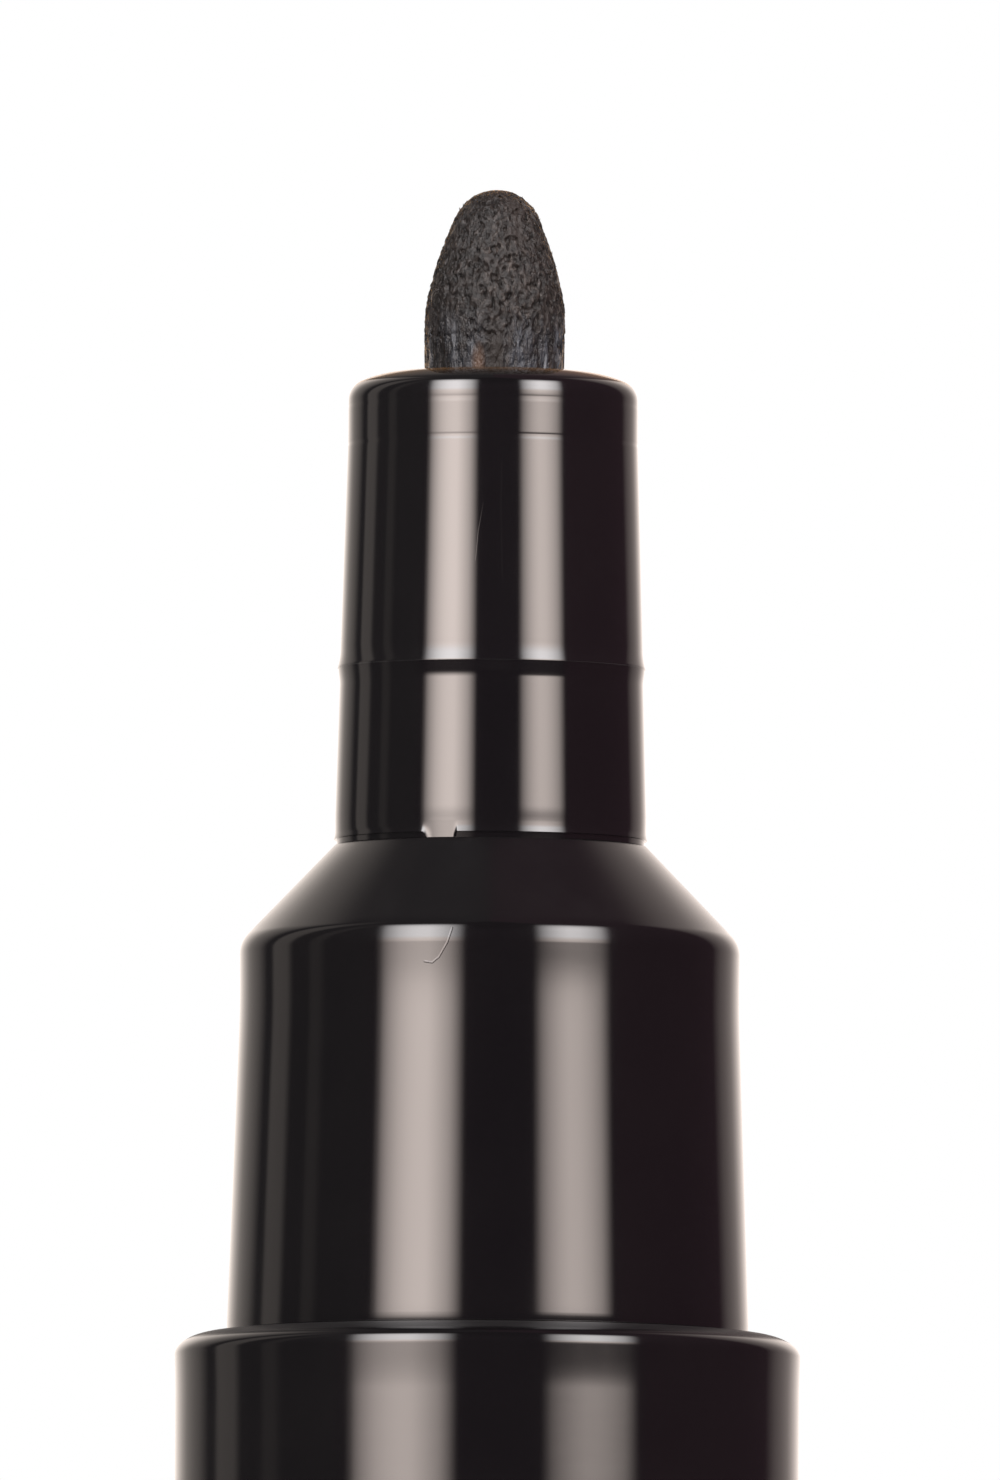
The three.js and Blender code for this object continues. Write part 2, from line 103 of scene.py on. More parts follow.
def maths(tree, operation, a, b=None, c=None):
    node = tree.nodes.new("ShaderNodeMath")
    node.operation = operation
    for socket, value in zip(node.inputs, (a, b, c)):
        if value is not None:
            plug(tree, value, socket)
    return node.outputs[0]


def times(tree, a, b):
    return maths(tree, "MULTIPLY", a, b)


def plus(tree, a, b):
    return maths(tree, "ADD", a, b)


def minus(tree, a, b):
    return maths(tree, "SUBTRACT", a, b)


def vectorMaths(tree, operation, *values, **named):
    # gives a number for the operations that end in one
    node = addNode(tree, "ShaderNodeVectorMath", {**dict(enumerate(values)), **named}, operation=operation)
    return node.outputs["Value" if operation in ("DOT_PRODUCT", "DISTANCE", "LENGTH") else 0]


def axisOf(tree, vector, letter):
    return addNode(tree, "ShaderNodeSeparateXYZ", {"Vector": vector}).outputs[letter]


def span(tree, value, fromLow, fromHigh, toLow=0.0, toHigh=1.0, smooth=False):
    node = addNode(tree, "ShaderNodeMapRange", {
        "Value": value, "From Min": fromLow, "From Max": fromHigh, "To Min": toLow, "To Max": toHigh},
        interpolation_type="SMOOTHSTEP" if smooth else "LINEAR")
    return node.outputs["Result"]


def colourRamp(tree, value, stops):
    node = tree.nodes.new("ShaderNodeValToRGB")
    elements = node.color_ramp.elements
    while len(elements) > 1:
        elements.remove(elements[-1])
    for i, (place, colour) in enumerate(stops):
        element = elements[0] if i == 0 else elements.new(place)
        element.position = place
        element.color = (*colour, 1.0)
    tree.links.new(value, node.inputs["Fac"])
    return node.outputs["Color"]


def mixColours(tree, factor, a, b):
    node = tree.nodes.new("ShaderNodeMix")
    node.data_type = "RGBA"
    for socket, value in zip((node.inputs[0], node.inputs[6], node.inputs[7]), (factor, a, b)):
        plug(tree, (*value, 1.0) if isinstance(value, tuple) else value, socket)
    return node.outputs[2]


def newMaterial(name, **shader):
    material = bpy.data.materials.new(name)
    material.use_nodes = True
    tree = material.node_tree
    bsdf = tree.nodes["Principled BSDF"]
    for key, value in shader.items():
        bsdf.inputs[key].default_value = value
    place = addNode(tree, "ShaderNodeTexCoord").outputs["Object"]
    return material, tree, bsdf, place


def noiseOn(tree, place, scale, detail=3.0, roughness=0.55, stretch=None):
    if stretch:
        place = addNode(tree, "ShaderNodeMapping", {"Vector": place, "Scale": stretch}).outputs["Vector"]
    node = addNode(tree, "ShaderNodeTexNoise", {
        "Vector": place, "Scale": scale, "Detail": detail, "Roughness": roughness})
    return node.outputs["Fac"]


def addBump(tree, bsdf, height, distance, strength=1.0, below=None):
    inputs = {"Height": height, "Distance": distance, "Strength": strength}
    if below is not None:
        inputs["Normal"] = below
    bump = addNode(tree, "ShaderNodeBump", inputs)
    tree.links.new(bump.outputs["Normal"], bsdf.inputs["Normal"])
    return bump.outputs["Normal"]


# Finishes

glossPlastic = {
    "colour": (0.0046, 0.0040, 0.0047),
    "haze": (0.0066, 0.0058, 0.0063),
    "roughness": 0.075,
    "waviness": 1.6e-7,      # metres: how far the moulded skin swells and sinks
    "dust": (0.09, 0.085, 0.08),
    "bloomRise": 0.25,      # mm: how quickly the painted golden sheen round the rim comes in, and where it ends
    "bloomEnd": (0.38, 0.46),
    # colour of the painted golden sheen
    "bloomTint": (1.0, 0.56, 0.2, 1.0),
}

# fine scratches that the marker carries, in mm: points as (across, height), the line's width and its strength
shoulderScratch = [
    ([(-0.905, 143.3), (-1.02, 142.95), (-1.22, 142.6), (-1.38, 142.47), (-1.56, 142.5)], 0.026, 1.0)]
neckScratches = [([(0.215, 154.72), (0.205, 153.5), (0.245, 151.9)], 0.016, 0.16),
                 ([(-0.21, 153.7), (-0.33, 153.0), (-0.39, 152.3)], 0.014, 0.12)]


def scratchMask(tree, place, points, width):
    # a fine line through points given as (across, height) in mm, on the front side
    flat = vectorMaths(tree, "MULTIPLY", place, (1.0, 0.0, 1.0))
    nearest = 1.0
    for (ax, az), (bx, bz) in zip(points, points[1:]):
        run = Vector((bx - ax, 0, bz - az)) * mm
        away = vectorMaths(tree, "SUBTRACT", flat, (ax * mm, 0.0, az * mm))
        share = span(tree, vectorMaths(tree, "DOT_PRODUCT", away, tuple(run)), 0.0, run.length_squared)
        step = vectorMaths(tree, "SCALE", tuple(run), Scale=share)
        nearest = maths(tree, "MINIMUM", vectorMaths(tree, "DISTANCE", away, step), nearest)
    front = maths(tree, "LESS_THAN", axisOf(tree, place, "Y"), 0.0)
    return times(tree, span(tree, nearest, width * mm, width * 0.4 * mm), front)


def makeGlossPlastic(name, ior, satin=None, paintedSheenFrom=None, scratches=()):
    p = sizesOf(glossPlastic)
    material, tree, bsdf, place = newMaterial(name, IOR=ior)
    height = axisOf(tree, place, "Z")
    cloud = noiseOn(tree, place, 260, 4)
    smear = noiseOn(tree, place, 900, 5, 0.6, (1, 1, 0.16))
    specks = addNode(tree, "ShaderNodeTexVoronoi", {"Vector": place, "Scale": 820.0})
    speck = span(tree, specks.outputs["Distance"], 0.035, 0.055, 1.0, 0.0)
    rare = span(tree, specks.outputs["Color"], 0.90, 0.91)
    dust = times(tree, speck, rare)
    body = mixColours(tree, span(tree, cloud, 0.4, 0.75), p.colour, p.haze)
    body = mixColours(tree, times(tree, dust, 0.5), body, p.dust)
    tree.links.new(body, bsdf.inputs["Base Color"])
    rough = plus(tree, p.roughness, times(tree, span(tree, smear, 0.5, 0.8), 0.05))
    if satin:      # duller above a height: (height, over what distance, by how much)
        above, blend, extra = satin
        dull = span(tree, height, (above - blend) * mm, (above + blend) * mm, 0.0, extra, True)
        rough = plus(tree, rough, dull)
    tree.links.new(rough, bsdf.inputs["Roughness"])
    if paintedSheenFrom is not None:      # a painted golden sheen round the rim
        bloom = span(tree, height, paintedSheenFrom * mm, (paintedSheenFrom + p.bloomRise) * mm, 0.0, 0.75, True)
        going, gone = p.bloomEnd
        below = span(tree, height, (paintedSheenFrom + gone) * mm, (paintedSheenFrom + going) * mm)
        bloom = times(tree, bloom, below)
        tree.links.new(bloom, bsdf.inputs["Sheen Weight"])
        bsdf.inputs["Sheen Roughness"].default_value = 0.2
        bsdf.inputs["Sheen Tint"].default_value = p.bloomTint
    swell = noiseOn(tree, place, 420, 2, 0.5, (1, 1, 0.45))
    ripple = noiseOn(tree, place, 2600, 3, 0.6, (1, 1, 0.6))
    bands = noiseOn(tree, place, 1100, 2, 0.5, (0.3, 0.3, 1.0))
    skin = addBump(tree, bsdf, swell, p.waviness * 5)
    skin = addBump(tree, bsdf, bands, p.waviness * 4, 1.0, skin)
    skin = addBump(tree, bsdf, ripple, p.waviness * 0.5, 1.0, skin)
    if scratches:
        marks = 0.0
        for points, width, strength in scratches:
            mark = times(tree, scratchMask(tree, place, points, width), strength)
            marks = maths(tree, "MAXIMUM", mark, marks)
        body = mixColours(tree, times(tree, marks, 0.07), body, (0.35, 0.33, 0.32))
        tree.links.new(body, bsdf.inputs["Base Color"])
        addBump(tree, bsdf, marks, 2.5e-6, 1.0, skin)
    return material


def makeNaturalPlastic():
    material, tree, bsdf, place = newMaterial("naturalPlastic", IOR=1.49)
    bsdf.inputs["Subsurface Weight"].default_value = 0.25
    bsdf.inputs["Subsurface Radius"].default_value = (0.0012, 0.0011, 0.0009)
    flow = noiseOn(tree, place, 330, 4, 0.5, (1, 1, 0.3))
    colour = mixColours(tree, span(tree, flow, 0.35, 0.7), (0.76, 0.74, 0.68), (0.68, 0.66, 0.60))
    tree.links.new(colour, bsdf.inputs["Base Color"])
    grain = noiseOn(tree, place, 5200, 3)
    tree.links.new(span(tree, grain, 0.3, 0.7, 0.34, 0.5), bsdf.inputs["Roughness"])
    addBump(tree, bsdf, grain, 1.5e-6)
    return material


def makeSealRubber():
    material, tree, bsdf, place = newMaterial("sealRubber", IOR=1.5)
    bloom = noiseOn(tree, place, 900, 5, 0.65)
    colour = mixColours(tree, span(tree, bloom, 0.4, 0.75), (0.021, 0.021, 0.022), (0.045, 0.044, 0.043))
    tree.links.new(colour, bsdf.inputs["Base Color"])
    tree.links.new(span(tree, bloom, 0.3, 0.7, 0.62, 0.82), bsdf.inputs["Roughness"])
    addBump(tree, bsdf, noiseOn(tree, place, 7000, 3), 2.5e-6)
    return material


def makeSpringSteel():
    material, tree, bsdf, place = newMaterial("springSteel", Metallic=1.0)
    drawn = noiseOn(tree, place, 6000, 3, 0.6)
    colour = mixColours(tree, drawn, (0.50, 0.50, 0.50), (0.66, 0.65, 0.63))
    tree.links.new(colour, bsdf.inputs["Base Color"])
    tree.links.new(span(tree, drawn, 0.3, 0.7, 0.2, 0.38), bsdf.inputs["Roughness"])
    addBump(tree, bsdf, drawn, 8.0e-7)
    return material


def makeBallSteel():
    material, tree, bsdf, place = newMaterial("ballSteel", Metallic=1.0)
    paint = noiseOn(tree, place, 420, 5, 0.6)
    film = span(tree, paint, 0.52, 0.6)
    tree.links.new(mixColours(tree, film, (0.60, 0.61, 0.62), (0.30, 0.30, 0.31)), bsdf.inputs["Base Color"])
    tree.links.new(plus(tree, 0.07, times(tree, film, 0.25)), bsdf.inputs["Roughness"])
    return material


blackBarrel = makeGlossPlastic("blackBarrel", 1.86, satin=(133.66, 0.06, 0.34))
blackSection = makeGlossPlastic("blackSection", 1.88, satin=(143.55, 0.1, 0.08), scratches=shoulderScratch)
blackNeck = makeGlossPlastic("blackNeck", 1.96)
# the sleeve's rim carries a painted golden sheen
blackSleeve = makeGlossPlastic("blackSleeve", 2.05, paintedSheenFrom=156.6, scratches=neckScratches)
blackCap = makeGlossPlastic("blackCap", 1.86)
naturalPlastic = makeNaturalPlastic()
sealRubber = makeSealRubber()
springSteel = makeSpringSteel()
ballSteel = makeBallSteel()
print("finishes made")


# Outlines and turned pieces, all in mm

def arc(centre, radius, start, end, steps):
    # degrees, from straight out (0) to straight up (90)
    points = []
    for i in range(steps + 1):
        a = math.radians(start + (end - start) * i / steps)
        points.append((centre[0] + radius * math.cos(a), centre[1] + radius * math.sin(a)))
    return points


def withHolds(points, closed=True):
    # rings close to each end of a long wall, so that it shades straight
    reach, longerThan = 0.05, 0.3
    result = []
    count = len(points)
    for i, (r, z) in enumerate(points):
        result.append((r, z))
        if i == count - 1 and not closed:
            break
        nr, nz = points[(i + 1) % count]
        length = math.hypot(nr - r, nz - z)
        if length > longerThan:
            t = reach / length
            result.append((r + (nr - r) * t, z + (nz - z) * t))
            result.append((r + (nr - r) * (1 - t), z + (nz - z) * (1 - t)))
    return result


def newPiece(name, verts, faces, collection=marker):
    mesh = bpy.data.meshes.new(name)
    mesh.from_pydata(verts, [], faces)
    piece = bpy.data.objects.new(name, mesh)
    collection.objects.link(piece)
    return piece


def ringFaces(rings, segments):
    # faces from a middle point, vertex 0, out through rings of vertices
    faces = [(0, 1 + s, 1 + (s + 1) % segments) for s in range(segments)]
    for ring in range(rings - 1):
        a, b = 1 + ring * segments, 1 + (ring + 1) * segments
        for s in range(segments):
            t = (s + 1) % segments
            faces.append((a + s, b + s, b + t, a + t))
    return faces


def turned(name, outline, segments=160, closed=True, sharp=30):
    # turns an outline about the axis; it runs up the outside, so the faces point out
    outline = withHolds(outline, closed)
    verts, rings = [], []
    for r, z in outline:
        if r < 1e-6:
            rings.append([len(verts)])
            verts.append((0, 0, z * mm))
            continue
        rings.append(list(range(len(verts), len(verts) + segments)))
        for s in range(segments):
            a = 2 * math.pi * s / segments
            verts.append((r * math.cos(a) * mm, r * math.sin(a) * mm, z * mm))
    faces = []
    pairs = len(rings) if closed else len(rings) - 1
    for i in range(pairs):
        under, over = rings[i], rings[(i + 1) % len(rings)]
        for s in range(segments):
            n = (s + 1) % segments
            face = []
            for ring, step in ((under, s), (under, n), (over, n), (over, s)):
                index = ring[0] if len(ring) == 1 else ring[step]
                if index not in face:
                    face.append(index)
            if len(face) > 2:
                faces.append(face)
    piece = newPiece(name, verts, faces)
    piece.data.validate()
    piece.data.shade_smooth()
    piece.data.set_sharp_from_angle(angle=math.radians(sharp))
    return piece


def seatPiece(piece, node, body, material):
    if not piece.data.materials:
        piece.data.materials.append(material)
    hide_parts(node)
    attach(piece, body)
    print("made", piece.name, len(piece.data.polygons), "faces")


# Geometry Nodes: a ring of cutters or blocks, a coil, the nib's fibres

def newTree(name, inputs):
    tree = bpy.data.node_groups.new(name, "GeometryNodeTree")
    tree.interface.new_socket("Geometry", in_out="INPUT", socket_type="NodeSocketGeometry")
    sockets = {}
    for label, kind, value in inputs:
        item = tree.interface.new_socket(label, in_out="INPUT", socket_type=f"NodeSocket{kind}")
        if value is not None:
            item.default_value = value
        sockets[label] = item.identifier
    tree.interface.new_socket("Geometry", in_out="OUTPUT", socket_type="NodeSocketGeometry")
    start = tree.nodes.new("NodeGroupInput")
    end = tree.nodes.new("NodeGroupOutput")
    return tree, start.outputs, end.inputs[0], sockets


def runTree(piece, tree, sockets, values):
    # runs a tree on a piece and keeps the result as its plain mesh
    modifier = piece.modifiers.new(tree.name, "NODES")
    modifier.node_group = tree
    for label, value in values.items():
        modifier[sockets[label]] = value
    bpy.context.view_layer.update()
    evaluated = piece.evaluated_get(bpy.context.evaluated_depsgraph_get())
    mesh = bpy.data.meshes.new_from_object(evaluated)
    piece.modifiers.remove(modifier)
    mesh.name = piece.name
    piece.data = mesh
    return piece


def closeTree(tree, given, out, geometry):
    # ends a tree with real geometry in the given material
    whole = addNode(tree, "GeometryNodeRealizeInstances", {"Geometry": geometry})
    finish = addNode(tree, "GeometryNodeSetMaterial", {
        "Geometry": whole.outputs[0], "Material": given["Material"]})
    tree.links.new(finish.outputs[0], out)


def turnedRing(tree, made, count):
    # copies of one geometry, evenly round the axis
    points = addNode(tree, "GeometryNodeMeshLine", {"Count": count, "Offset": (0.0, 0.0, 0.0)})
    index = addNode(tree, "GeometryNodeInputIndex").outputs[0]
    step = maths(tree, "DIVIDE", math.tau, count)
    turn = addNode(tree, "ShaderNodeCombineXYZ", {"Z": times(tree, index, step)})
    copies = addNode(tree, "GeometryNodeInstanceOnPoints", {
        "Points": points.outputs["Mesh"], "Instance": made, "Rotation": turn.outputs[0]})
    return addNode(tree, "GeometryNodeRealizeInstances", {"Geometry": copies.outputs[0]}).outputs[0]


def ringTree(name, operation):
    # blocks evenly round the axis, cut out of a piece as slots or joined to it as ribs
    tree, given, out, sockets = newTree(name, [
        ("Count", "Int", 3), ("Inner", "Float", 0.0), ("Outer", "Float", 0.003), ("Width", "Float", 0.0007),
        ("Bottom", "Float", 0.0), ("Top", "Float", 0.001), ("Material", "Material", None)])
    size = addNode(tree, "ShaderNodeCombineXYZ", {
        "X": minus(tree, given["Outer"], given["Inner"]), "Y": given["Width"],
        "Z": minus(tree, given["Top"], given["Bottom"])})
    box = addNode(tree, "GeometryNodeMeshCube", {"Size": size.outputs[0]})
    half = times(tree, plus(tree, given["Inner"], given["Outer"]), 0.5)
    middle = times(tree, plus(tree, given["Bottom"], given["Top"]), 0.5)
    place = addNode(tree, "ShaderNodeCombineXYZ", {"X": half, "Z": middle})
    moved = addNode(tree, "GeometryNodeTransform", {
        "Geometry": box.outputs["Mesh"], "Translation": place.outputs[0]})
    ring = turnedRing(tree, moved.outputs[0], given["Count"])
    meet = addNode(tree, "GeometryNodeMeshBoolean", operation=operation, solver="EXACT")
    tree.links.new(given["Geometry"], meet.inputs["Mesh 1" if operation == "DIFFERENCE" else "Mesh 2"])
    tree.links.new(ring, meet.inputs["Mesh 2"])
    closeTree(tree, given, out, meet.outputs["Mesh"])
    return tree, sockets


def coilTree():
    # wire wound up the axis, with its end coils closed
    tree, given, out, sockets = newTree("closedCoil", [
        ("Turns", "Float", 6.0), ("Radius", "Float", 0.0013), ("Wire", "Float", 0.00035),
        ("Bottom", "Float", 0.0), ("Height", "Float", 0.005), ("Material", "Material", None)])
    path = addNode(tree, "GeometryNodeCurveSpiral", {
        "Resolution": 40, "Rotations": given["Turns"], "Start Radius": given["Radius"],
        "End Radius": given["Radius"], "Height": 0.0})
    along = addNode(tree, "GeometryNodeSplineParameter").outputs["Factor"]
    rise = addNode(tree, "ShaderNodeFloatCurve", {"Value": along})
    curve = rise.mapping.curves[0]
    curve.points[0].location = (0, 0)
    curve.points[1].location = (1, 1)
    for x, y in ((0.14, 0.055), (0.86, 0.945)):
        curve.points.new(x, y)
    rise.mapping.update()
    height = maths(tree, "MULTIPLY_ADD", rise.outputs[0], given["Height"], given["Bottom"])
    lift = addNode(tree, "ShaderNodeCombineXYZ", {"Z": height})
    raised = addNode(tree, "GeometryNodeSetPosition", {
        "Geometry": path.outputs[0], "Offset": lift.outputs[0]})
    wire = addNode(tree, "GeometryNodeCurvePrimitiveCircle", {
        "Resolution": 14, "Radius": times(tree, given["Wire"], 0.5)})
    tube = addNode(tree, "GeometryNodeCurveToMesh", {
        "Curve": raised.outputs[0], "Profile Curve": wire.outputs[0], "Fill Caps": True})
    smooth = addNode(tree, "GeometryNodeSetShadeSmooth", {"Geometry": tube.outputs[0]})
    closeTree(tree, given, out, smooth.outputs[0])
    return tree, sockets


slots, slotSockets = ringTree("slotRing", "DIFFERENCE")
coil, coilSockets = coilTree()


# Barrel

barrelSizes = {
    "radius": 7.515, "bore": 6.15, "socket": 6.4, "frontDrop": 0.14, "edgeWide": 1.1, "edgeTall": 0.55,
    "swell": 0.0265, "swellLength": 1.1, "rearEdge": 0.22, "frontSocket": 12.1, "rearSocket": 6.3,
}


def makeBarrel():
    b = sizesOf(barrelSizes)
    front = barrelFront - b.frontDrop
    edgeZ = front - b.edgeTall
    outline = [(b.socket, barrelRear)]
    outline += arc((b.radius - b.rearEdge, barrelRear + b.rearEdge), b.rearEdge, -90, 0, 6)
    mouth, steps = b.radius, 24
    for i in range(steps + 1):      # the tube swells very slightly towards its mouth
        outline.append((mouth, edgeZ - b.swellLength * (1 - i / steps)))
        slope = math.sin(min(1.0, 1.25 * (i + 0.5) / steps) * math.pi / 2)
        mouth += b.swell * b.swellLength / steps * slope
    mouth = outline[-1][0]
    for a in (1, 2, 3.5, 5.5, 8, 11, 14, *range(18, 91, 4)):
        across, up = math.cos(math.radians(a)), math.sin(math.radians(a))
        outline.append((mouth - b.edgeWide * (1 - across), edgeZ + b.edgeTall * up))
    outline += [(b.socket, front - 0.05)]
    outline += [(b.socket, barrelFront - b.frontSocket), (b.bore, barrelFront - b.frontSocket)]
    outline += [(b.bore, barrelRear + b.rearSocket), (b.socket, barrelRear + b.rearSocket)]
    return turned("barrelTube", outline, 224)


seatPiece(makeBarrel(), "barrel", "barrel", blackBarrel)


# Front section: skirt, grip, shoulder and cone

sectionSizes = {
    "skirt": 6.3, "skirtBottom": 122.0, "skirtBore": 4.7, "shoulder": 6.025, "shoulderAbove": 9.27,
    "shoulderRadius": 0.68, "coneTop": 3.75, "coneAbove": 0.1, "lean": -0.014, "draft": 0.0355, "leanTo": 0.2,
    "draftFrom": 2.2, "footAbove": 0.09, "footTall": 0.27,
    "bore": 3.4, "boss": 4.3, "grooveDepth": 1.03, "grooveHalf": 0.53, "grooveBelow": 5.0,
    "bossBottom": 139.87, "wall": 1.25,
}


def makeSection():
    s = sizesOf(sectionSizes)
    corner, topZ = barrelFront + s.shoulderAbove, sectionTop + s.coneAbove
    steep = math.atan2(topZ - corner, s.shoulder - s.coneTop)
    faces = math.pi / 2 - steep      # how far the cone's skin faces upwards
    arcZ = corner - s.shoulderRadius * math.tan(faces / 2)
    centre = (s.shoulder - s.shoulderRadius, arcZ)
    groove = barrelFront - s.grooveBelow
    outline = [(s.skirtBore, s.skirtBottom), (s.skirt - 0.2, s.skirtBottom),
               (s.skirt, s.skirtBottom + 0.2), (s.skirt, groove - s.grooveHalf),
               (s.skirt - s.grooveDepth, groove - s.grooveHalf),
               (s.skirt - s.grooveDepth, groove + s.grooveHalf),
               (s.skirt, groove + s.grooveHalf), (s.skirt, barrelFront - 0.5)]
    # the grip leans in on its way up, but leans out for a moment just below the shoulder
    radius, wall, steps = s.shoulder, [], 60
    length = arcZ - barrelFront - s.footAbove
    for i in range(1, steps + 1):
        below = length * (i / steps) ** 1.5
        middle = (below + length * ((i - 1) / steps) ** 1.5) / 2
        t = clamp((middle - s.leanTo) / (s.draftFrom - s.leanTo))
        slope = s.lean + (s.draft - s.lean) * t * t * (3 - 2 * t)
        radius += slope * (below - length * ((i - 1) / steps) ** 1.5)
        wall.append((radius, arcZ - below))
    for i in range(1, 17):      # at its foot it turns in under a soft edge, just above the barrel's mouth
        down = s.footTall * (i - 0.5) / 16
        slope = 2.6 * down ** 2 if down < 0.2 else 0.104 + 4.0 * (down - 0.2)
        radius -= slope * s.footTall / 16
        wall.append((radius, barrelFront + s.footAbove - s.footTall * i / 16))
    outline += wall[::-1]
    outline += arc(centre, s.shoulderRadius, 0.5, math.degrees(faces), 18)
    outline += [(s.coneTop + 0.03, topZ - 0.03), (s.coneTop, topZ)]
    drop = s.wall / math.cos(steep)

    def ceiling(r):
        return corner + (s.shoulder - r) * math.tan(steep) - drop

    outline += [(s.bore, topZ), (s.bore, s.bossBottom), (s.boss, s.bossBottom),
                (s.boss, ceiling(s.boss)), (s.skirtBore, ceiling(s.skirtBore))]
    return turned("gripSection", outline, 224)


seatPiece(makeSection(), "front_section", "barrel", blackSection)


# Nozzle: lower neck, flange, valve body and spigot

nozzleSizes = {
    "flangeFrom": 0.24, "flangeTall": 0.62, "neckBase": 3.745, "neckTop": 3.655,
    "flangeTilts": [(0.0, 14), (0.1, 12), (0.19, 2), (0.28, -0.3), (0.38, -0.65), (0.46, -0.5), (0.54, 0.0),
                    (0.62, 0.8)],
    "lipSlope": 0.125, "lipHeight": 0.4, "foot": 3.7, "lap": 0.045, "seat": 3.58,
    "body": 3.3, "chamber": 2.5, "clip": 2.98, "clipBead": 0.07, "clipHeight": 2.0,
    "bottom": 137.52, "chamberTop": 144.6, "bore": 2.0, "spigot": 2.75, "spigotTop": 154.35,
    "tab": {"start": -25.5, "end": -12.75, "tall": 0.26, "reach": 0.27, "leftEase": 3.0, "rightEase": 0.75,
            "inset": 0.0015, "tuck": 0.005},
}


def makeNozzle():
    n = sizesOf(nozzleSizes)
    bottom, clipTop = n.bottom, n.bottom + n.clipHeight
    seatZ = sectionTop + sectionSizes["coneAbove"]
    flangeZ = sectionTop + n.flangeFrom
    lapZ = seam - n.lap
    outline = [(n.chamber, bottom), (n.clip - 0.08, bottom), (n.clip, bottom + 0.08),
               (n.clip + n.clipBead, bottom + 0.5), (n.clip, bottom + 1.0), (n.clip, clipTop),
               (n.body, clipTop), (n.body, seatZ + 0.005), (n.foot, seatZ + 0.005)]
    face, radius, steps = [], n.neckBase, 40
    # the flange's face, from the neck down: a shallow waist, then a flared skirt
    for i in range(steps + 1):
        up = n.flangeTall * (1 - i / steps)
        face.append((radius, flangeZ + up))
        for (a, tiltA), (b, tiltB) in zip(n.flangeTilts, n.flangeTilts[1:]):
            if a <= up <= b:
                tilt = tiltA + (tiltB - tiltA) * (up - a) / (b - a)
        radius += math.tan(math.radians(tilt)) * n.flangeTall / steps
    outline += [(n.foot + 0.012, flangeZ - 0.012), (face[-1][0] - 0.02, flangeZ - 0.012)] + face[::-1]
    radius, steps, lip = n.neckTop, 20, []
    for i in range(steps + 1):      # the top end flares a little to meet the sleeve
        t = min(1.0, i / steps / 0.45)
        radius += n.lipSlope * t * t * (3 - 2 * t) * n.lipHeight / steps
        lip.append((radius, lapZ - n.lipHeight * (1 - i / steps)))
    outline += lip
    outline += [(n.seat, lapZ), (n.seat, seam)]
    outline += [(n.spigot, seam), (n.spigot, n.spigotTop - 0.1),
                (n.spigot - 0.1, n.spigotTop), (n.bore, n.spigotTop),
                (n.bore, n.chamberTop), (n.chamber, n.chamberTop)]
    nozzle = turned("neckNozzle", outline, 480)
    tab = sizesOf(n.tab)
    for vertex in nozzle.data.vertices:      # a moulding tab hangs from the flange's lower edge
        x, y, z = vertex.co / mm
        if math.hypot(x, y) < n.foot + 0.02 or not flangeZ - 0.02 < z < flangeZ + tab.tall:
            continue
        turn = math.degrees(math.atan2(x, -y))
        side = clamp(min((turn - tab.start) / tab.leftEase, (tab.end - turn) / tab.rightEase))
        down = min(1.0, (flangeZ + tab.tall - z) / tab.tall)
        vertex.co.z -= tab.reach * side * down * mm
        radius = math.hypot(x, y)
        keep = side * (n.neckBase - tab.inset - tab.tuck * down - radius) / radius
        vertex.co.x *= 1 + keep
        vertex.co.y *= 1 + keep
    return nozzle


seatPiece(makeNozzle(), "nozzle", "barrel", blackNeck)


# Nib collar: the upper neck

collarSizes = {
    "top": 3.49, "base": 3.64, "foot": 3.712, "footHeight": 0.5, "footEdge": 0.004,
    "rimRadius": 0.5, "rimDrop": 0.487, "dome": 0.215, "mouth": 2.02,
    "socket": 2.85, "guide": 1.86, "guideLength": 2.2, "flutes": 6, "fluteWidth": 0.5, "fluteDepth": 0.28,
    "firstLine": 0.63, "firstStep": 0.003, "firstDepth": 0.0065, "overhang": 2.2,
    "secondLine": 1.545, "secondStep": 0.004, "secondDepth": 0.0055, "lineWidth": 0.055,
}


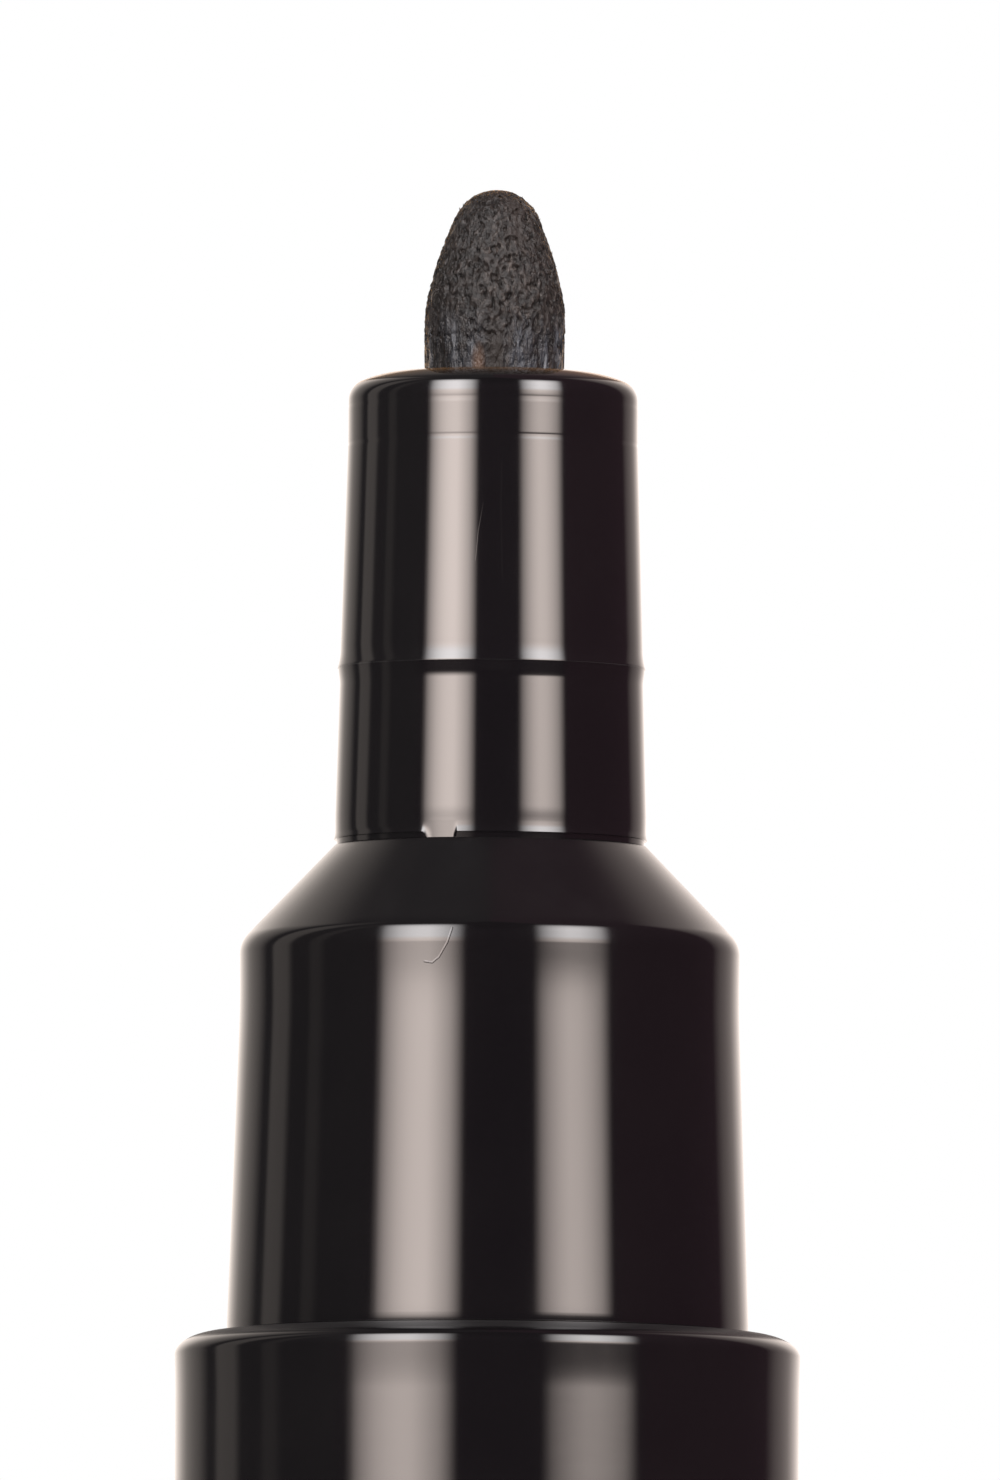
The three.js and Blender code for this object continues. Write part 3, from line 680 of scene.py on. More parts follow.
def makeCollar():
    c = sizesOf(collarSizes)
    wallTop = rim - c.rimDrop
    lapZ = seam - nozzleSizes["lap"]
    first, second, w = rim - c.firstLine, rim - c.secondLine, c.lineWidth
    edge = c.top - c.firstStep
    outline = [(c.socket, seam), (nozzleSizes["seat"] + 0.01, seam), (nozzleSizes["seat"] + 0.01, lapZ)]
    outline += arc((c.foot - c.footEdge, lapZ + c.footEdge), c.footEdge, -80, 0, 3)
    for i in range(1, 11):
        t = i / 10   # the foot flares out of the sleeve
        flare = (c.foot - c.base) * (1 - t) ** 2
        outline.append((c.base + flare, lapZ + c.footEdge + c.footHeight * t))
    # two parting lines, with the wall upright between them
    outline += [(c.top + c.secondStep, second - w), (c.top - c.secondDepth, second - w * 0.3),
                (c.top, second + w), (c.top, first - w),
                (c.top - c.firstDepth, first - w * 0.2), (edge + 0.0005, first + w)]
    centre = (edge - c.rimRadius, wallTop)
    outline += arc(centre, c.rimRadius, -c.overhang, 66, 20)
    lastR, lastZ = outline[-1]
    crownZ = rim + c.dome
    width, rise = lastR - c.mouth, crownZ - lastZ
    for i in range(1, 15):      # a gently domed top, down into the nib's hole
        t = i / 14
        lift = rise * t * t * (3 - 2 * t) + width * (0.43 * t * (1 - t) ** 2 - 0.06 * t * t * (1 - t))
        outline.append((lastR - width * t, lastZ + lift))
    outline += [(c.guide + 0.05, crownZ - 0.04), (c.guide, crownZ - 0.14)]
    outline += [(c.guide, rim - c.guideLength), (c.socket, rim - c.guideLength)]
    sleeve = turned("nibSleeve", outline, 192)
    sleeve.data.materials.append(blackSleeve)
    runTree(sleeve, slots, slotSockets, {
        "Count": c.flutes, "Inner": (c.guide - 0.3) * mm, "Outer": (c.guide + c.fluteDepth) * mm,
        "Width": c.fluteWidth * mm, "Bottom": (rim - c.guideLength - 0.5) * mm, "Top": (rim + 0.9) * mm,
        "Material": blackSleeve})
    sleeve.data.set_sharp_from_angle(angle=math.radians(30))
    return sleeve


seatPiece(makeCollar(), "nib_collar", "barrel", blackSleeve)


# Nib

nibSizes = {
    "radius": 1.7, "noseRadius": 1.16, "noseDegrees": 69, "bullet": 3.1, "detailed": 5.2,
    "plainRings": (7.0, 10.0, 14.0), "rearRings": (3.1, 2.4, 1.6, 0.9, 0.4, 0.12),
    "segments": 350, "rings": 200, "lumps": 0.02, "ridges": 0.024, "pits": 0.075, "worn": 0.05, "lean": 0.011,
    "leanFrom": 0.014, "seed": 7,
}


def noseRadiusAt(depth):
    # radius of the bullet nose at a depth below the tip
    n = sizesOf(nibSizes)
    limit = math.radians(n.noseDegrees)
    meetDepth = n.noseRadius * (1 - math.cos(limit))
    meetRadius = n.noseRadius * math.sin(limit)
    if depth <= meetDepth:
        return math.sqrt(max(0, n.noseRadius ** 2 - (n.noseRadius - depth) ** 2))
    if depth >= n.bullet:
        return n.radius
    control = min(meetDepth + (n.radius - meetRadius) * math.tan(limit), n.bullet)
    a = meetDepth - 2 * control + n.bullet
    b = 2 * (control - meetDepth)
    c = meetDepth - depth
    t = (-b + math.sqrt(b * b - 4 * a * c)) / (2 * a) if abs(a) > 1e-9 else -c / b
    return meetRadius * (1 - t) ** 2 + n.radius * (2 * t * (1 - t) + t * t)


def nibRelief(angle, depth, radius):
    # fibre bundles and pits, coarser and more worn towards the tip
    n = sizesOf(nibSizes)
    x, y = math.cos(angle) * radius, math.sin(angle) * radius
    calm = min(1.0, max(0.3, (4.6 - depth) / 1.2))      # the foot is wet and calmer
    bend = 0.3 * noise.noise(Vector((x * 2.6 + 70, y * 2.6, depth * 2.6)))
    lump = noise.noise(Vector((x * 2.3, y * 2.3, depth * 1.6)))
    knob = noise.noise(Vector((x * 6.0 + 20, y * 6.0, depth * 3.4)))
    ridge = 1 - 2 * abs(noise.noise(Vector((x * 7.6 + bend * 2 + 9, y * 7.6 + bend, depth * 3.4))))
    pit = noise.noise(Vector((x * 8.5 + bend * 3 + 50, y * 8.5, depth * 4.3)))
    height = n.lumps * (lump + 0.7 * knob) + n.ridges * calm * (ridge - 0.6)
    height -= n.pits * calm * min(1.0, max(0.0, pit - 0.14) * 3.6)
    return height


# what lies over the strands, in order: how strongly, and its colour
nibLayers = {
    "brownPatches": (0.85, (0.09, 0.066, 0.056)),
    # painted shade in the hollows between the fibre ridges
    "pits": (0.75, (0.007, 0.0058, 0.0056)),
    "lowPart": (0.4, (0.014, 0.014, 0.017)),
    # wet sides of the foot, with a painted bluish reflection in their colour
    "wetSidesPaintedReflection": (0.6, (0.07, 0.078, 0.094)),
    # painted bluish-white glints in the wet streaks
    "paintedWetGlints": (0.6, (0.26, 0.275, 0.3)),
    "bareMiddle": (0.85, (0.022, 0.017, 0.014)),
    "orangeStain": (0.7, (0.16, 0.08, 0.038)),
}


def makeNibMaterial():
    material, tree, bsdf, place = newMaterial("nibFibre", IOR=1.5)
    # a painted golden sheen, weighted towards the nib's far half and its outline
    bsdf.inputs["Sheen Roughness"].default_value = 0.13
    bsdf.inputs["Sheen Tint"].default_value = (1.0, 0.56, 0.2, 1.0)
    depth = axisOf(tree, place, "Y")
    tree.links.new(span(tree, depth, -0.0008, -0.0002, 0.05, 0.9, True), bsdf.inputs["Sheen Weight"])
    blotch = noiseOn(tree, place, 1500, 4, 0.55, (1, 1, 0.6))
    strands = noiseOn(tree, place, 9000, 3, 0.6, (1, 1, 0.55))
    bent = addNode(tree, "ShaderNodeMapping", {"Vector": place, "Scale": (1, 1, 0.55)}).outputs["Vector"]
    worms = addNode(tree, "ShaderNodeTexNoise", {
        "Vector": bent, "Scale": 6200.0, "Detail": 2.0, "Roughness": 0.5, "Lacunarity": 2.2,
        "Distortion": 0.9}, noise_type="RIDGED_MULTIFRACTAL").outputs["Fac"]
    ridge = span(tree, worms, 0.25, 1.1, 0.0, 1.0, True)
    height = axisOf(tree, place, "Z")
    low = span(tree, height, 0.1587, 0.1576, 0.0, 1.0, True)
    across = axisOf(tree, place, "X")
    runs = noiseOn(tree, place, 3400, 3, 0.6, (1, 1, 0.22))
    aside = maths(tree, "ABSOLUTE", minus(tree, across, 0.00004))
    # the wet sides are glossier for real, and their colour carries a painted bluish reflection
    wet = times(tree, low, span(tree, aside, 0.00022, 0.0005, 0.0, 1.0, True))
    wet = times(tree, wet, span(tree, runs, 0.42, 0.6, 0.0, 1.0, True))
    bare = times(tree, low, span(tree, aside, 0.00026, 0.0001, 0.0, 1.0, True))
    grey = colourRamp(tree, strands, [
        (0.36, (0.008, 0.0064, 0.0058)), (0.47, (0.029, 0.0222, 0.0194)), (0.57, (0.076, 0.058, 0.05)),
        (0.68, (0.24, 0.2, 0.18))])
    smooth = colourRamp(tree, blotch, [(0.52, (0.0, 0.0, 0.0)), (0.64, (1.0, 1.0, 1.0))])
    # painted glints along the wet streaks
    paintedGlintMask = times(tree, wet, span(tree, runs, 0.58, 0.68, 0.0, 1.0, True))
    offset = vectorMaths(tree, "SUBTRACT", place, (-0.00037, -0.00165, 0.1572))
    away = vectorMaths(tree, "LENGTH", vectorMaths(tree, "MULTIPLY", offset, (1.0, 0.6, 0.34)))
    # the hollows between ridges get painted shade
    masks = {
        "brownPatches": smooth, "pits": span(tree, ridge, 0.33, 0.05), "lowPart": low, "wetSidesPaintedReflection": wet,
        "paintedWetGlints": paintedGlintMask, "bareMiddle": bare, "orangeStain": span(tree, away, 0.0002, 0.00003)}
    for layer, (amount, colour) in nibLayers.items():
        grey = mixColours(tree, times(tree, masks[layer], amount), grey, colour)
    lighterToRight = span(tree, across, -0.0013, 0.0012, 0.65, 1.5, True)      # the nib's colour grows lighter from its left to its right
    grey = vectorMaths(tree, "SCALE", grey, Scale=lighterToRight)
    tree.links.new(grey, bsdf.inputs["Base Color"])
    rough = span(tree, strands, 0.35, 0.7, 0.42, 0.2)
    rough = plus(tree, rough, times(tree, smooth, 0.18))
    rough = minus(tree, rough, times(tree, wet, 0.2))
    rough = maths(tree, "MAXIMUM", plus(tree, rough, times(tree, bare, 0.2)), 0.09)
    tree.links.new(rough, bsdf.inputs["Roughness"])
    under = addBump(tree, bsdf, strands, 7.0e-5, 1.0)
    under = addBump(tree, bsdf, times(tree, runs, low), 1.6e-4, 1.0, under)
    calm = times(tree, ridge, span(tree, smooth, 0.0, 1.0, 1.0, 0.2))
    calm = times(tree, calm, minus(tree, 1.0, times(tree, bare, 0.8)))
    addBump(tree, bsdf, calm, 6.0e-5, 1.0, under)
    return material


def fibreTree():
    # short fibres lying along the nib's skin
    tree, given, out, sockets = newTree("skinFibres", [
        ("Density", "Float", 4.0e7), ("From", "Float", 0.157), ("To", "Float", 0.1612),
        ("Length", "Float", 0.0004), ("Thickness", "Float", 0.00002), ("Seed", "Int", 7),
        ("Material", "Material", None)])
    spot = addNode(tree, "GeometryNodeInputPosition").outputs[0]
    tall = axisOf(tree, spot, "Z")
    shown = addNode(tree, "FunctionNodeCompare", {"A": tall, "B": given["From"]}, operation="GREATER_THAN")
    under = addNode(tree, "FunctionNodeCompare", {"A": tall, "B": given["To"]}, operation="LESS_THAN")
    both = addNode(tree, "FunctionNodeBooleanMath", {
        0: shown.outputs[0], 1: under.outputs[0]}, operation="AND")
    area = addNode(tree, "GeometryNodeSeparateGeometry", {
        "Geometry": given["Geometry"], "Selection": both.outputs[0]}, domain="FACE").outputs[0]
    spread = addNode(tree, "GeometryNodeDistributePointsOnFaces", {
        "Mesh": area, "Density": given["Density"], "Seed": given["Seed"]})
    vary = addNode(tree, "FunctionNodeRandomValue", data_type="FLOAT")
    vary.inputs[2].default_value = 0.45
    vary.inputs[3].default_value = 1.5
    normal = spread.outputs["Normal"]
    upright = addNode(tree, "FunctionNodeAlignRotationToVector", {"Vector": normal}, axis="X")
    along = addNode(tree, "FunctionNodeAlignRotationToVector", {
        "Rotation": upright.outputs[0], "Vector": (0.0, 0.0, 1.0)}, axis="Z", pivot_axis="X")
    sway = addNode(tree, "FunctionNodeRandomValue", data_type="FLOAT")
    sway.inputs[2].default_value = -0.5
    sway.inputs[3].default_value = 0.5
    turn = addNode(tree, "FunctionNodeAxisAngleToRotation", {
        "Axis": (1.0, 0.0, 0.0), "Angle": sway.outputs[1]})
    swayed = addNode(tree, "FunctionNodeRotateRotation", {
        "Rotation": along.outputs[0], "Rotate By": turn.outputs[0]}, rotation_space="LOCAL")
    fibre = addNode(tree, "GeometryNodeMeshIcoSphere", {"Radius": 1.0, "Subdivisions": 1})
    size = addNode(tree, "ShaderNodeCombineXYZ", {
        "X": times(tree, given["Thickness"], 0.8), "Y": given["Thickness"],
        "Z": times(tree, given["Length"], vary.outputs[1])})
    copies = addNode(tree, "GeometryNodeInstanceOnPoints", {
        "Points": spread.outputs["Points"], "Instance": fibre.outputs["Mesh"],
        "Rotation": swayed.outputs[0], "Scale": size.outputs[0]})
    smooth = addNode(tree, "GeometryNodeSetShadeSmooth", {"Geometry": copies.outputs[0]})
    joined = addNode(tree, "GeometryNodeJoinGeometry")
    tree.links.new(smooth.outputs[0], joined.inputs[0])
    tree.links.new(given["Geometry"], joined.inputs[0])
    closeTree(tree, given, out, joined.outputs[0])
    return tree, sockets


def makeNib():
    n = sizesOf(nibSizes)
    seg = n.segments
    length = nibTip - nibRear
    depths = [0.0]
    front = n.detailed      # down to just inside the collar
    for i in range(1, n.rings + 1):
        t = i / n.rings
        depths.append(front * (0.35 * t * t + 0.65 * t) if t < 1 else front)
    depths += [*n.plainRings, *(length - rear for rear in n.rearRings)]
    verts = [((n.leanFrom + n.lean * 5.0) * mm, 0, nibTip * mm)]
    for depth in depths[1:-1]:
        nose = noseRadiusAt(min(depth, length - depth))
        fade = clamp((5.1 - depth) / 0.5)
        for s in range(seg):
            a = 2 * math.pi * s / seg
            r = nose
            if fade > 0 and depth < 6:
                r += nibRelief(a, depth, nose) * fade * min(1, depth / 0.15 + 0.3)
                r -= n.worn * fade * (0.35 + 0.65 * max(0.0, 1 - depth / 3.4)) * min(1, depth / 0.3)
            aside = max(0.0, n.leanFrom + n.lean * (5.0 - depth)) * clamp((9 - depth) / 3)
            verts.append(((r * math.cos(a) + aside) * mm, r * math.sin(a) * mm, (nibTip - depth) * mm))
    verts.append((0, 0, nibRear * mm))
    rows = len(depths) - 2
    faces = ringFaces(rows, seg)
    last, base = len(verts) - 1, 1 + (rows - 1) * seg
    for s in range(seg):
        faces.append((base + (s + 1) % seg, base + s, last))
    piece = newPiece("bulletNib", verts, faces)
    piece.data.shade_smooth()
    return piece


nibMaterial = makeNibMaterial()
bulletNib = makeNib()
fibres, fibreSockets = fibreTree()
runTree(bulletNib, fibres, fibreSockets, {
    "Density": 4.6e7, "From": (rim + 0.75) * mm, "To": (nibTip - 0.12) * mm, "Length": 0.085 * mm,
    "Thickness": 0.019 * mm, "Seed": nibSizes["seed"], "Material": nibMaterial})
seatPiece(bulletNib, "nib", "writing_unit", nibMaterial)


# Valve: stem, seat, spring and cage

valveSizes = {
    "cupTop": 144.2, "cupBottom": 139.52, "cup": 2.28, "cupBore": 1.8, "shaft": 0.95, "head": 1.9,
    "headTop": 136.32, "headBottom": 135.32, "pin": 0.75, "pinEnd": 128.62, "cupSlots": 3,
    "cupSlotWidth": 0.7, "seatTop": 137.52, "seatBottom": 136.52, "seatBore": 1.3, "seatOuter": 3.05,
    "lipWidth": 0.45, "lip": 0.15, "cageBottom": 128.42, "cageFloor": 129.42, "cageBore": 2.3, "cage": 3.0,
    "sleeveBore": 3.11, "sleeve": 3.73, "cageTop": 139.46, "pinHole": 0.95, "windows": 4, "windowWidth": 1.5,
    "coils": 6.0, "coil": 1.3, "wire": 0.35, "springTop": 135.27,
}


def makeStem():
    v = sizesOf(valveSizes)
    outline = [(0, v.pinEnd)] + arc((v.pin - 0.2, v.pinEnd + 0.2), 0.2, -90, 0, 6)
    outline += [(v.pin, v.headBottom), (v.head - 0.05, v.headBottom), (v.head, v.headBottom + 0.05),
                (v.head, v.headTop - 0.05), (v.head - 0.05, v.headTop), (v.shaft, v.headTop),
                (v.shaft, v.cupBottom), (v.cup - 0.1, v.cupBottom), (v.cup, v.cupBottom + 0.1),
                (v.cup, v.cupTop - 0.08), (v.cup - 0.08, v.cupTop), (v.cupBore + 0.1, v.cupTop),
                (v.cupBore, v.cupTop - 0.1)]
    for i in range(16, 0, -1):
        depth = 3.1 * i / 16
        outline.append((noseRadiusAt(depth) + 0.08, nibRear - 0.08 + depth + 0.08))
    outline.append((0, nibRear - 0.08))
    stem = turned("valveStem", outline, 96, closed=False)
    runTree(stem, slots, slotSockets, {
        "Count": v.cupSlots, "Inner": 0.9 * mm, "Outer": 3.3 * mm, "Width": v.cupSlotWidth * mm,
        "Bottom": (nibRear + 0.9) * mm, "Top": (v.cupTop + 1) * mm, "Material": naturalPlastic})
    stem.data.set_sharp_from_angle(angle=math.radians(30))
    return stem


def makeSeatRing():
    v = sizesOf(valveSizes)
    lip = v.seatBore + v.lipWidth
    outline = [(v.seatBore + 0.03, v.seatBottom - v.lip), (lip, v.seatBottom - v.lip),
               (lip + 0.06, v.seatBottom - 0.1), (lip + v.lip, v.seatBottom), (v.seatOuter, v.seatBottom),
               (v.seatOuter, v.seatTop), (v.seatBore, v.seatTop), (v.seatBore, v.seatBottom - 0.12)]
    return turned("seatRing", outline, 96)


def makeCage():
    v = sizesOf(valveSizes)
    shelf = v.seatBottom
    lean = v.sleeve - v.cage
    outline = [(v.pinHole, v.cageBottom)] + arc((v.cage - 0.5, v.cageBottom + 0.5), 0.5, -90, 0, 8)
    outline += [(v.cage, shelf - 0.7 - lean), (v.sleeve, shelf - 0.7), (v.sleeve, v.cageTop - 0.08),
                (v.sleeve - 0.08, v.cageTop), (v.sleeveBore, v.cageTop), (v.sleeveBore, shelf),
                (v.cageBore, shelf), (v.cageBore, v.cageFloor), (v.pinHole, v.cageFloor)]
    cage = turned("springCage", outline, 96)
    runTree(cage, slots, slotSockets, {
        "Count": v.windows, "Inner": 1.2 * mm, "Outer": 4.2 * mm, "Width": v.windowWidth * mm,
        "Bottom": (v.cageFloor + 0.5) * mm, "Top": (shelf - 0.7 - lean - 0.5) * mm,
        "Material": naturalPlastic})
    cage.data.set_sharp_from_angle(angle=math.radians(30))
    return cage


def makeSpring():
    v = sizesOf(valveSizes)
    spring = newPiece("valveCoil", [], [])
    half = v.wire / 2
    bottom = v.cageFloor + 0.05 + half
    runTree(spring, coil, coilSockets, {
        "Turns": v.coils, "Radius": v.coil * mm, "Wire": v.wire * mm, "Bottom": bottom * mm,
        "Height": (v.springTop - half - bottom) * mm, "Material": springSteel})
    return spring


seatPiece(makeStem(), "valve_stem", "writing_unit", naturalPlastic)
seatPiece(makeSeatRing(), "valve_seat", "barrel", sealRubber)
seatPiece(makeCage(), "spring_cage", "barrel", naturalPlastic)
valveCoil = makeSpring()
seatPiece(valveCoil, "valve_spring", "barrel", springSteel)
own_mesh(valveCoil)


# Seal in the skirt, and the mixing ball

sealSizes = {"socket": 6.4, "fit": 0.03, "radius": 0.5}


def makeSeal():
    r = sizesOf(sealSizes)
    middle = (r.socket - r.fit - r.radius, barrelFront - sectionSizes["grooveBelow"])
    ring = arc(middle, r.radius, -180, 176, 24)
    return turned("skirtSeal", ring[:-1], 128)


def makeBall():
    radius = (high["mixing_ball"].z - low["mixing_ball"].z) / 2
    middle = low["mixing_ball"].z + radius
    points = arc((0, middle), radius, -90, 90, 40)
    points[0] = (0, middle - radius)
    points[-1] = (0, middle + radius)
    return turned("mixBall", points, 80, closed=False, sharp=180)


seatPiece(makeSeal(), "section_seal", "barrel", sealRubber)
seatPiece(makeBall(), "mixing_ball", "ball", ballSteel)


# Tail plug

plugSizes = {
    "radius": 7.5, "flange": 1.0, "edge": 0.2, "spigot": 6.2, "spigotLength": 7.0, "spigotEdge": 0.4,
    "insert": 6.3, "insertLength": 6.0, "wall": 1.2, "ringHeight": 0.07,
}


def makePlug():
    p = sizesOf(plugSizes)
    flangeZ = barrelRear - p.flange
    bottom = flangeZ - p.spigotLength
    bore = p.spigot - p.wall
    outline = [(0, bottom)] + arc((p.spigot - p.spigotEdge, bottom + p.spigotEdge), p.spigotEdge, -90, 0, 8)
    outline += [(p.spigot, flangeZ)]
    outline += arc((p.radius - p.edge, flangeZ + p.edge), p.edge, -90, 0, 6)
    outline += arc((p.radius - p.edge, barrelRear - p.edge), p.edge, 0, 90, 6)
    outline += [(p.insert, barrelRear)]
    for share in (1 / 3, 2 / 3):
        z = barrelRear + p.insertLength * share
        for i in range(7):
            t = i / 6
            outline.append((p.insert + p.ringHeight * math.sin(math.pi * t), z - 0.3 + 0.6 * t))
    top = barrelRear + p.insertLength
    outline += [(p.insert, top - 0.15), (p.insert - 0.15, top), (bore, top), (bore, bottom + p.wall + 0.3),
                (bore - 0.09, bottom + p.wall + 0.09), (bore - 0.3, bottom + p.wall), (0, bottom + p.wall)]
    return turned("tailPlug", outline, 192, closed=False)


seatPiece(makePlug(), "tail_plug", "barrel", blackBarrel)


# Cap: shell with ribs, end disc and liner

capSizes = {
    "mouth": 7.5, "end": 7.35, "endEdge": 0.6, "proud": 0.3, "mouthEdge": 0.25, "mouthBore": 6.42,
    "innerEnd": 6.2, "floor": 2.3, "discThickness": 1.1, "discSeat": 6.3, "discGap": 0.08, "discEdge": 0.18,
    "boss": 3.45, "bossWall": 1.0, "bossTop": 5.4, "ribs": 6, "ribWidth": 0.8, "ribTop": 10.4,
    "ribInner": 4.36, "linerRun": 3.82, "liner": 4.3, "linerFoot": 3.55, "linerTop": 22.9, "linerFloor": 6.9,
    "sealAt": 19.95, "sealBore": 3.73,
}


def makeCapShell():
    c = sizesOf(capSizes)
    outline = [(c.discSeat, c.proud)]
    outline += arc((c.end - c.endEdge, c.proud + c.endEdge), c.endEdge, -90, 0, 12)
    outline += arc((c.mouth - c.mouthEdge, capTop - c.mouthEdge), c.mouthEdge, 0, 90, 8)
    outline += [(c.mouthBore + 0.2, capTop), (c.mouthBore, capTop - 0.2), (c.innerEnd, c.floor),
                (c.boss, c.floor), (c.boss, c.bossTop - 0.1), (c.boss - 0.1, c.bossTop),
                (c.boss - c.bossWall, c.bossTop), (c.boss - c.bossWall, c.floor), (0, c.floor),
                (0, c.discThickness), (c.discSeat, c.discThickness)]
    shell = turned("capShell", outline, 192)
    ribs, ribSockets = ringTree("ribRing", "UNION")
    runTree(shell, ribs, ribSockets, {
        "Count": c.ribs, "Inner": c.ribInner * mm, "Outer": (c.innerEnd + 0.54) * mm,
        "Width": c.ribWidth * mm, "Bottom": (c.floor - 0.6) * mm, "Top": c.ribTop * mm,
        "Material": blackCap})
    shell.data.set_sharp_from_angle(angle=math.radians(30))
    return shell


def makeCapDisc():
    c = sizesOf(capSizes)
    radius = c.discSeat - c.discGap
    outline = [(0, 0)] + arc((radius - c.discEdge, c.discEdge), c.discEdge, -90, 0, 8)
    outline += [(radius, c.discThickness), (0, c.discThickness)]
    return turned("capDisc", outline, 192, closed=False)


def makeLiner():
    c = sizesOf(capSizes)
    outline = [(c.linerFoot, c.floor), (c.liner, c.floor), (c.liner, c.linerTop - 0.2),
               (c.liner - 0.06, c.linerTop - 0.06), (c.liner - 0.2, c.linerTop),
               (c.linerRun + 0.2, c.linerTop), (c.linerRun, c.linerTop - 0.2),
               (c.linerRun, c.sealAt + 1)]
    for i in range(1, 8):
        t = i / 8
        bulge = (c.linerRun - c.sealBore) * math.sin(math.pi * t)
        outline.append((c.linerRun - bulge, c.sealAt + 1 - 2 * t))
    outline += [(c.linerRun, c.sealAt - 1), (c.linerRun, c.linerFloor + 0.4),
                (c.linerRun - 0.12, c.linerFloor + 0.12), (c.linerRun - 0.4, c.linerFloor),
                (0, c.linerFloor), (0, c.linerFloor - 1), (c.linerFoot, c.linerFloor - 1)]
    return turned("capLiner", outline, 128)


seatPiece(makeCapShell(), "cap_shell", "cap", blackCap)
seatPiece(makeCapDisc(), "cap_disc", "cap", blackCap)
seatPiece(makeLiner(), "cap_liner", "cap", naturalPlastic)


# Floor

floorLook = {"radius": 0.9, "colour": (0.62, 0.61, 0.60), "fadeFrom": 0.25, "fadeTo": 0.85}


def makeFloor():
    f = sizesOf(floorLook)
    rings, seg = 24, 96
    verts = [(0, 0, 0)]
    for i in range(1, rings + 1):
        for s in range(seg):
            a = 2 * math.pi * s / seg
            verts.append((f.radius * i / rings * math.cos(a), f.radius * i / rings * math.sin(a), 0))
    floor = newPiece("studioFloor", verts, ringFaces(rings, seg), bpy.context.scene.collection)
    material, tree, bsdf, place = newMaterial("floorPaper", Roughness=0.9)
    grain = noiseOn(tree, place, 900, 4)
    tone = mixColours(tree, span(tree, grain, 0.3, 0.7), f.colour, tuple(c * 0.97 for c in f.colour))
    tree.links.new(tone, bsdf.inputs["Base Color"])
    away = vectorMaths(tree, "LENGTH", place)
    gone = span(tree, away, f.fadeFrom, f.fadeTo, 0.0, 1.0, True)
    clear = addNode(tree, "ShaderNodeBsdfTransparent")
    fade = addNode(tree, "ShaderNodeMixShader", {0: gone})
    tree.links.new(bsdf.outputs[0], fade.inputs[1])
    tree.links.new(clear.outputs[0], fade.inputs[2])
    tree.links.new(fade.outputs[0], tree.nodes["Material Output"].inputs["Surface"])
    floor.data.materials.append(material)
    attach(floor, "cap")


makeFloor()
print("floor laid")


# Studio: soft boxes and backdrop in the world

# Turn and tilt say which way a skin faces, doubled, when it mirrors that part of the studio to the front.
studio = {
    "leftBox": [(-54, 0.0), (-51.5, 0.5), (-50, 1.4), (-47, 2.6), (-42, 4.1), (-37, 5.0), (-32.5, 5.4),
                (-28, 5.4), (-23, 4.3), (-18, 2.95), (-14.5, 1.4), (-12.5, 0.5), (-11, 0.0)],
    "rightBox": [(20, 0.0), (22, 0.5), (24, 1.4), (28, 2.6), (32.5, 3.6), (37, 4.2), (42, 4.0), (47, 3.3),
                 (52, 2.2), (54.5, 1.2), (56.5, 0.4), (58, 0.0)],
    "boxTint": (1.0, 0.87, 0.81),
    "leftHeights": [(-11.4, 0.0), (-8.4, 0.03), (-5.4, 0.16), (0.1, 0.56), (2.0, 0.71), (3.2, 0.87),
                    (4.4, 0.95), (5.8, 1.0), (8.6, 1.03), (25, 1.18), (58, 1.15), (68, 0.95), (78, 0.0)],
    "rightHeights": [(-13.4, 0.0), (-3.4, 0.03), (0.1, 0.07), (1.1, 0.15), (2.0, 0.37), (3.2, 0.73),
                     (4.4, 0.92), (5.8, 1.0), (8.6, 1.03), (25, 1.4), (58, 1.4), (68, 1.1), (78, 0.0)],
    "frontGlow": (0.045, 0.036, 0.043),
    "leftSide": (0.058, 0.054, 0.056),
    "rightSide": (0.078, 0.045, 0.057),
    "strips": [(-120, -106, 0.25), (-92, -84, 0.07)],
    "backdrop": [(126, 0.0), (134, 0.25), (141, 0.38), (148, 0.54), (154, 0.85), (160, 1.15), (167, 1.35),
                 (180, 1.4)],
    "backTint": (1.0, 0.89, 0.81),
    "top": (0.012, 0.012, 0.012),
    "upTint": (0.97, 0.93, 0.93),
}


def stops(pairs, low, high, scale=1.0):
    return [((place - low) / (high - low), (value * scale,) * 3) for place, value in pairs]


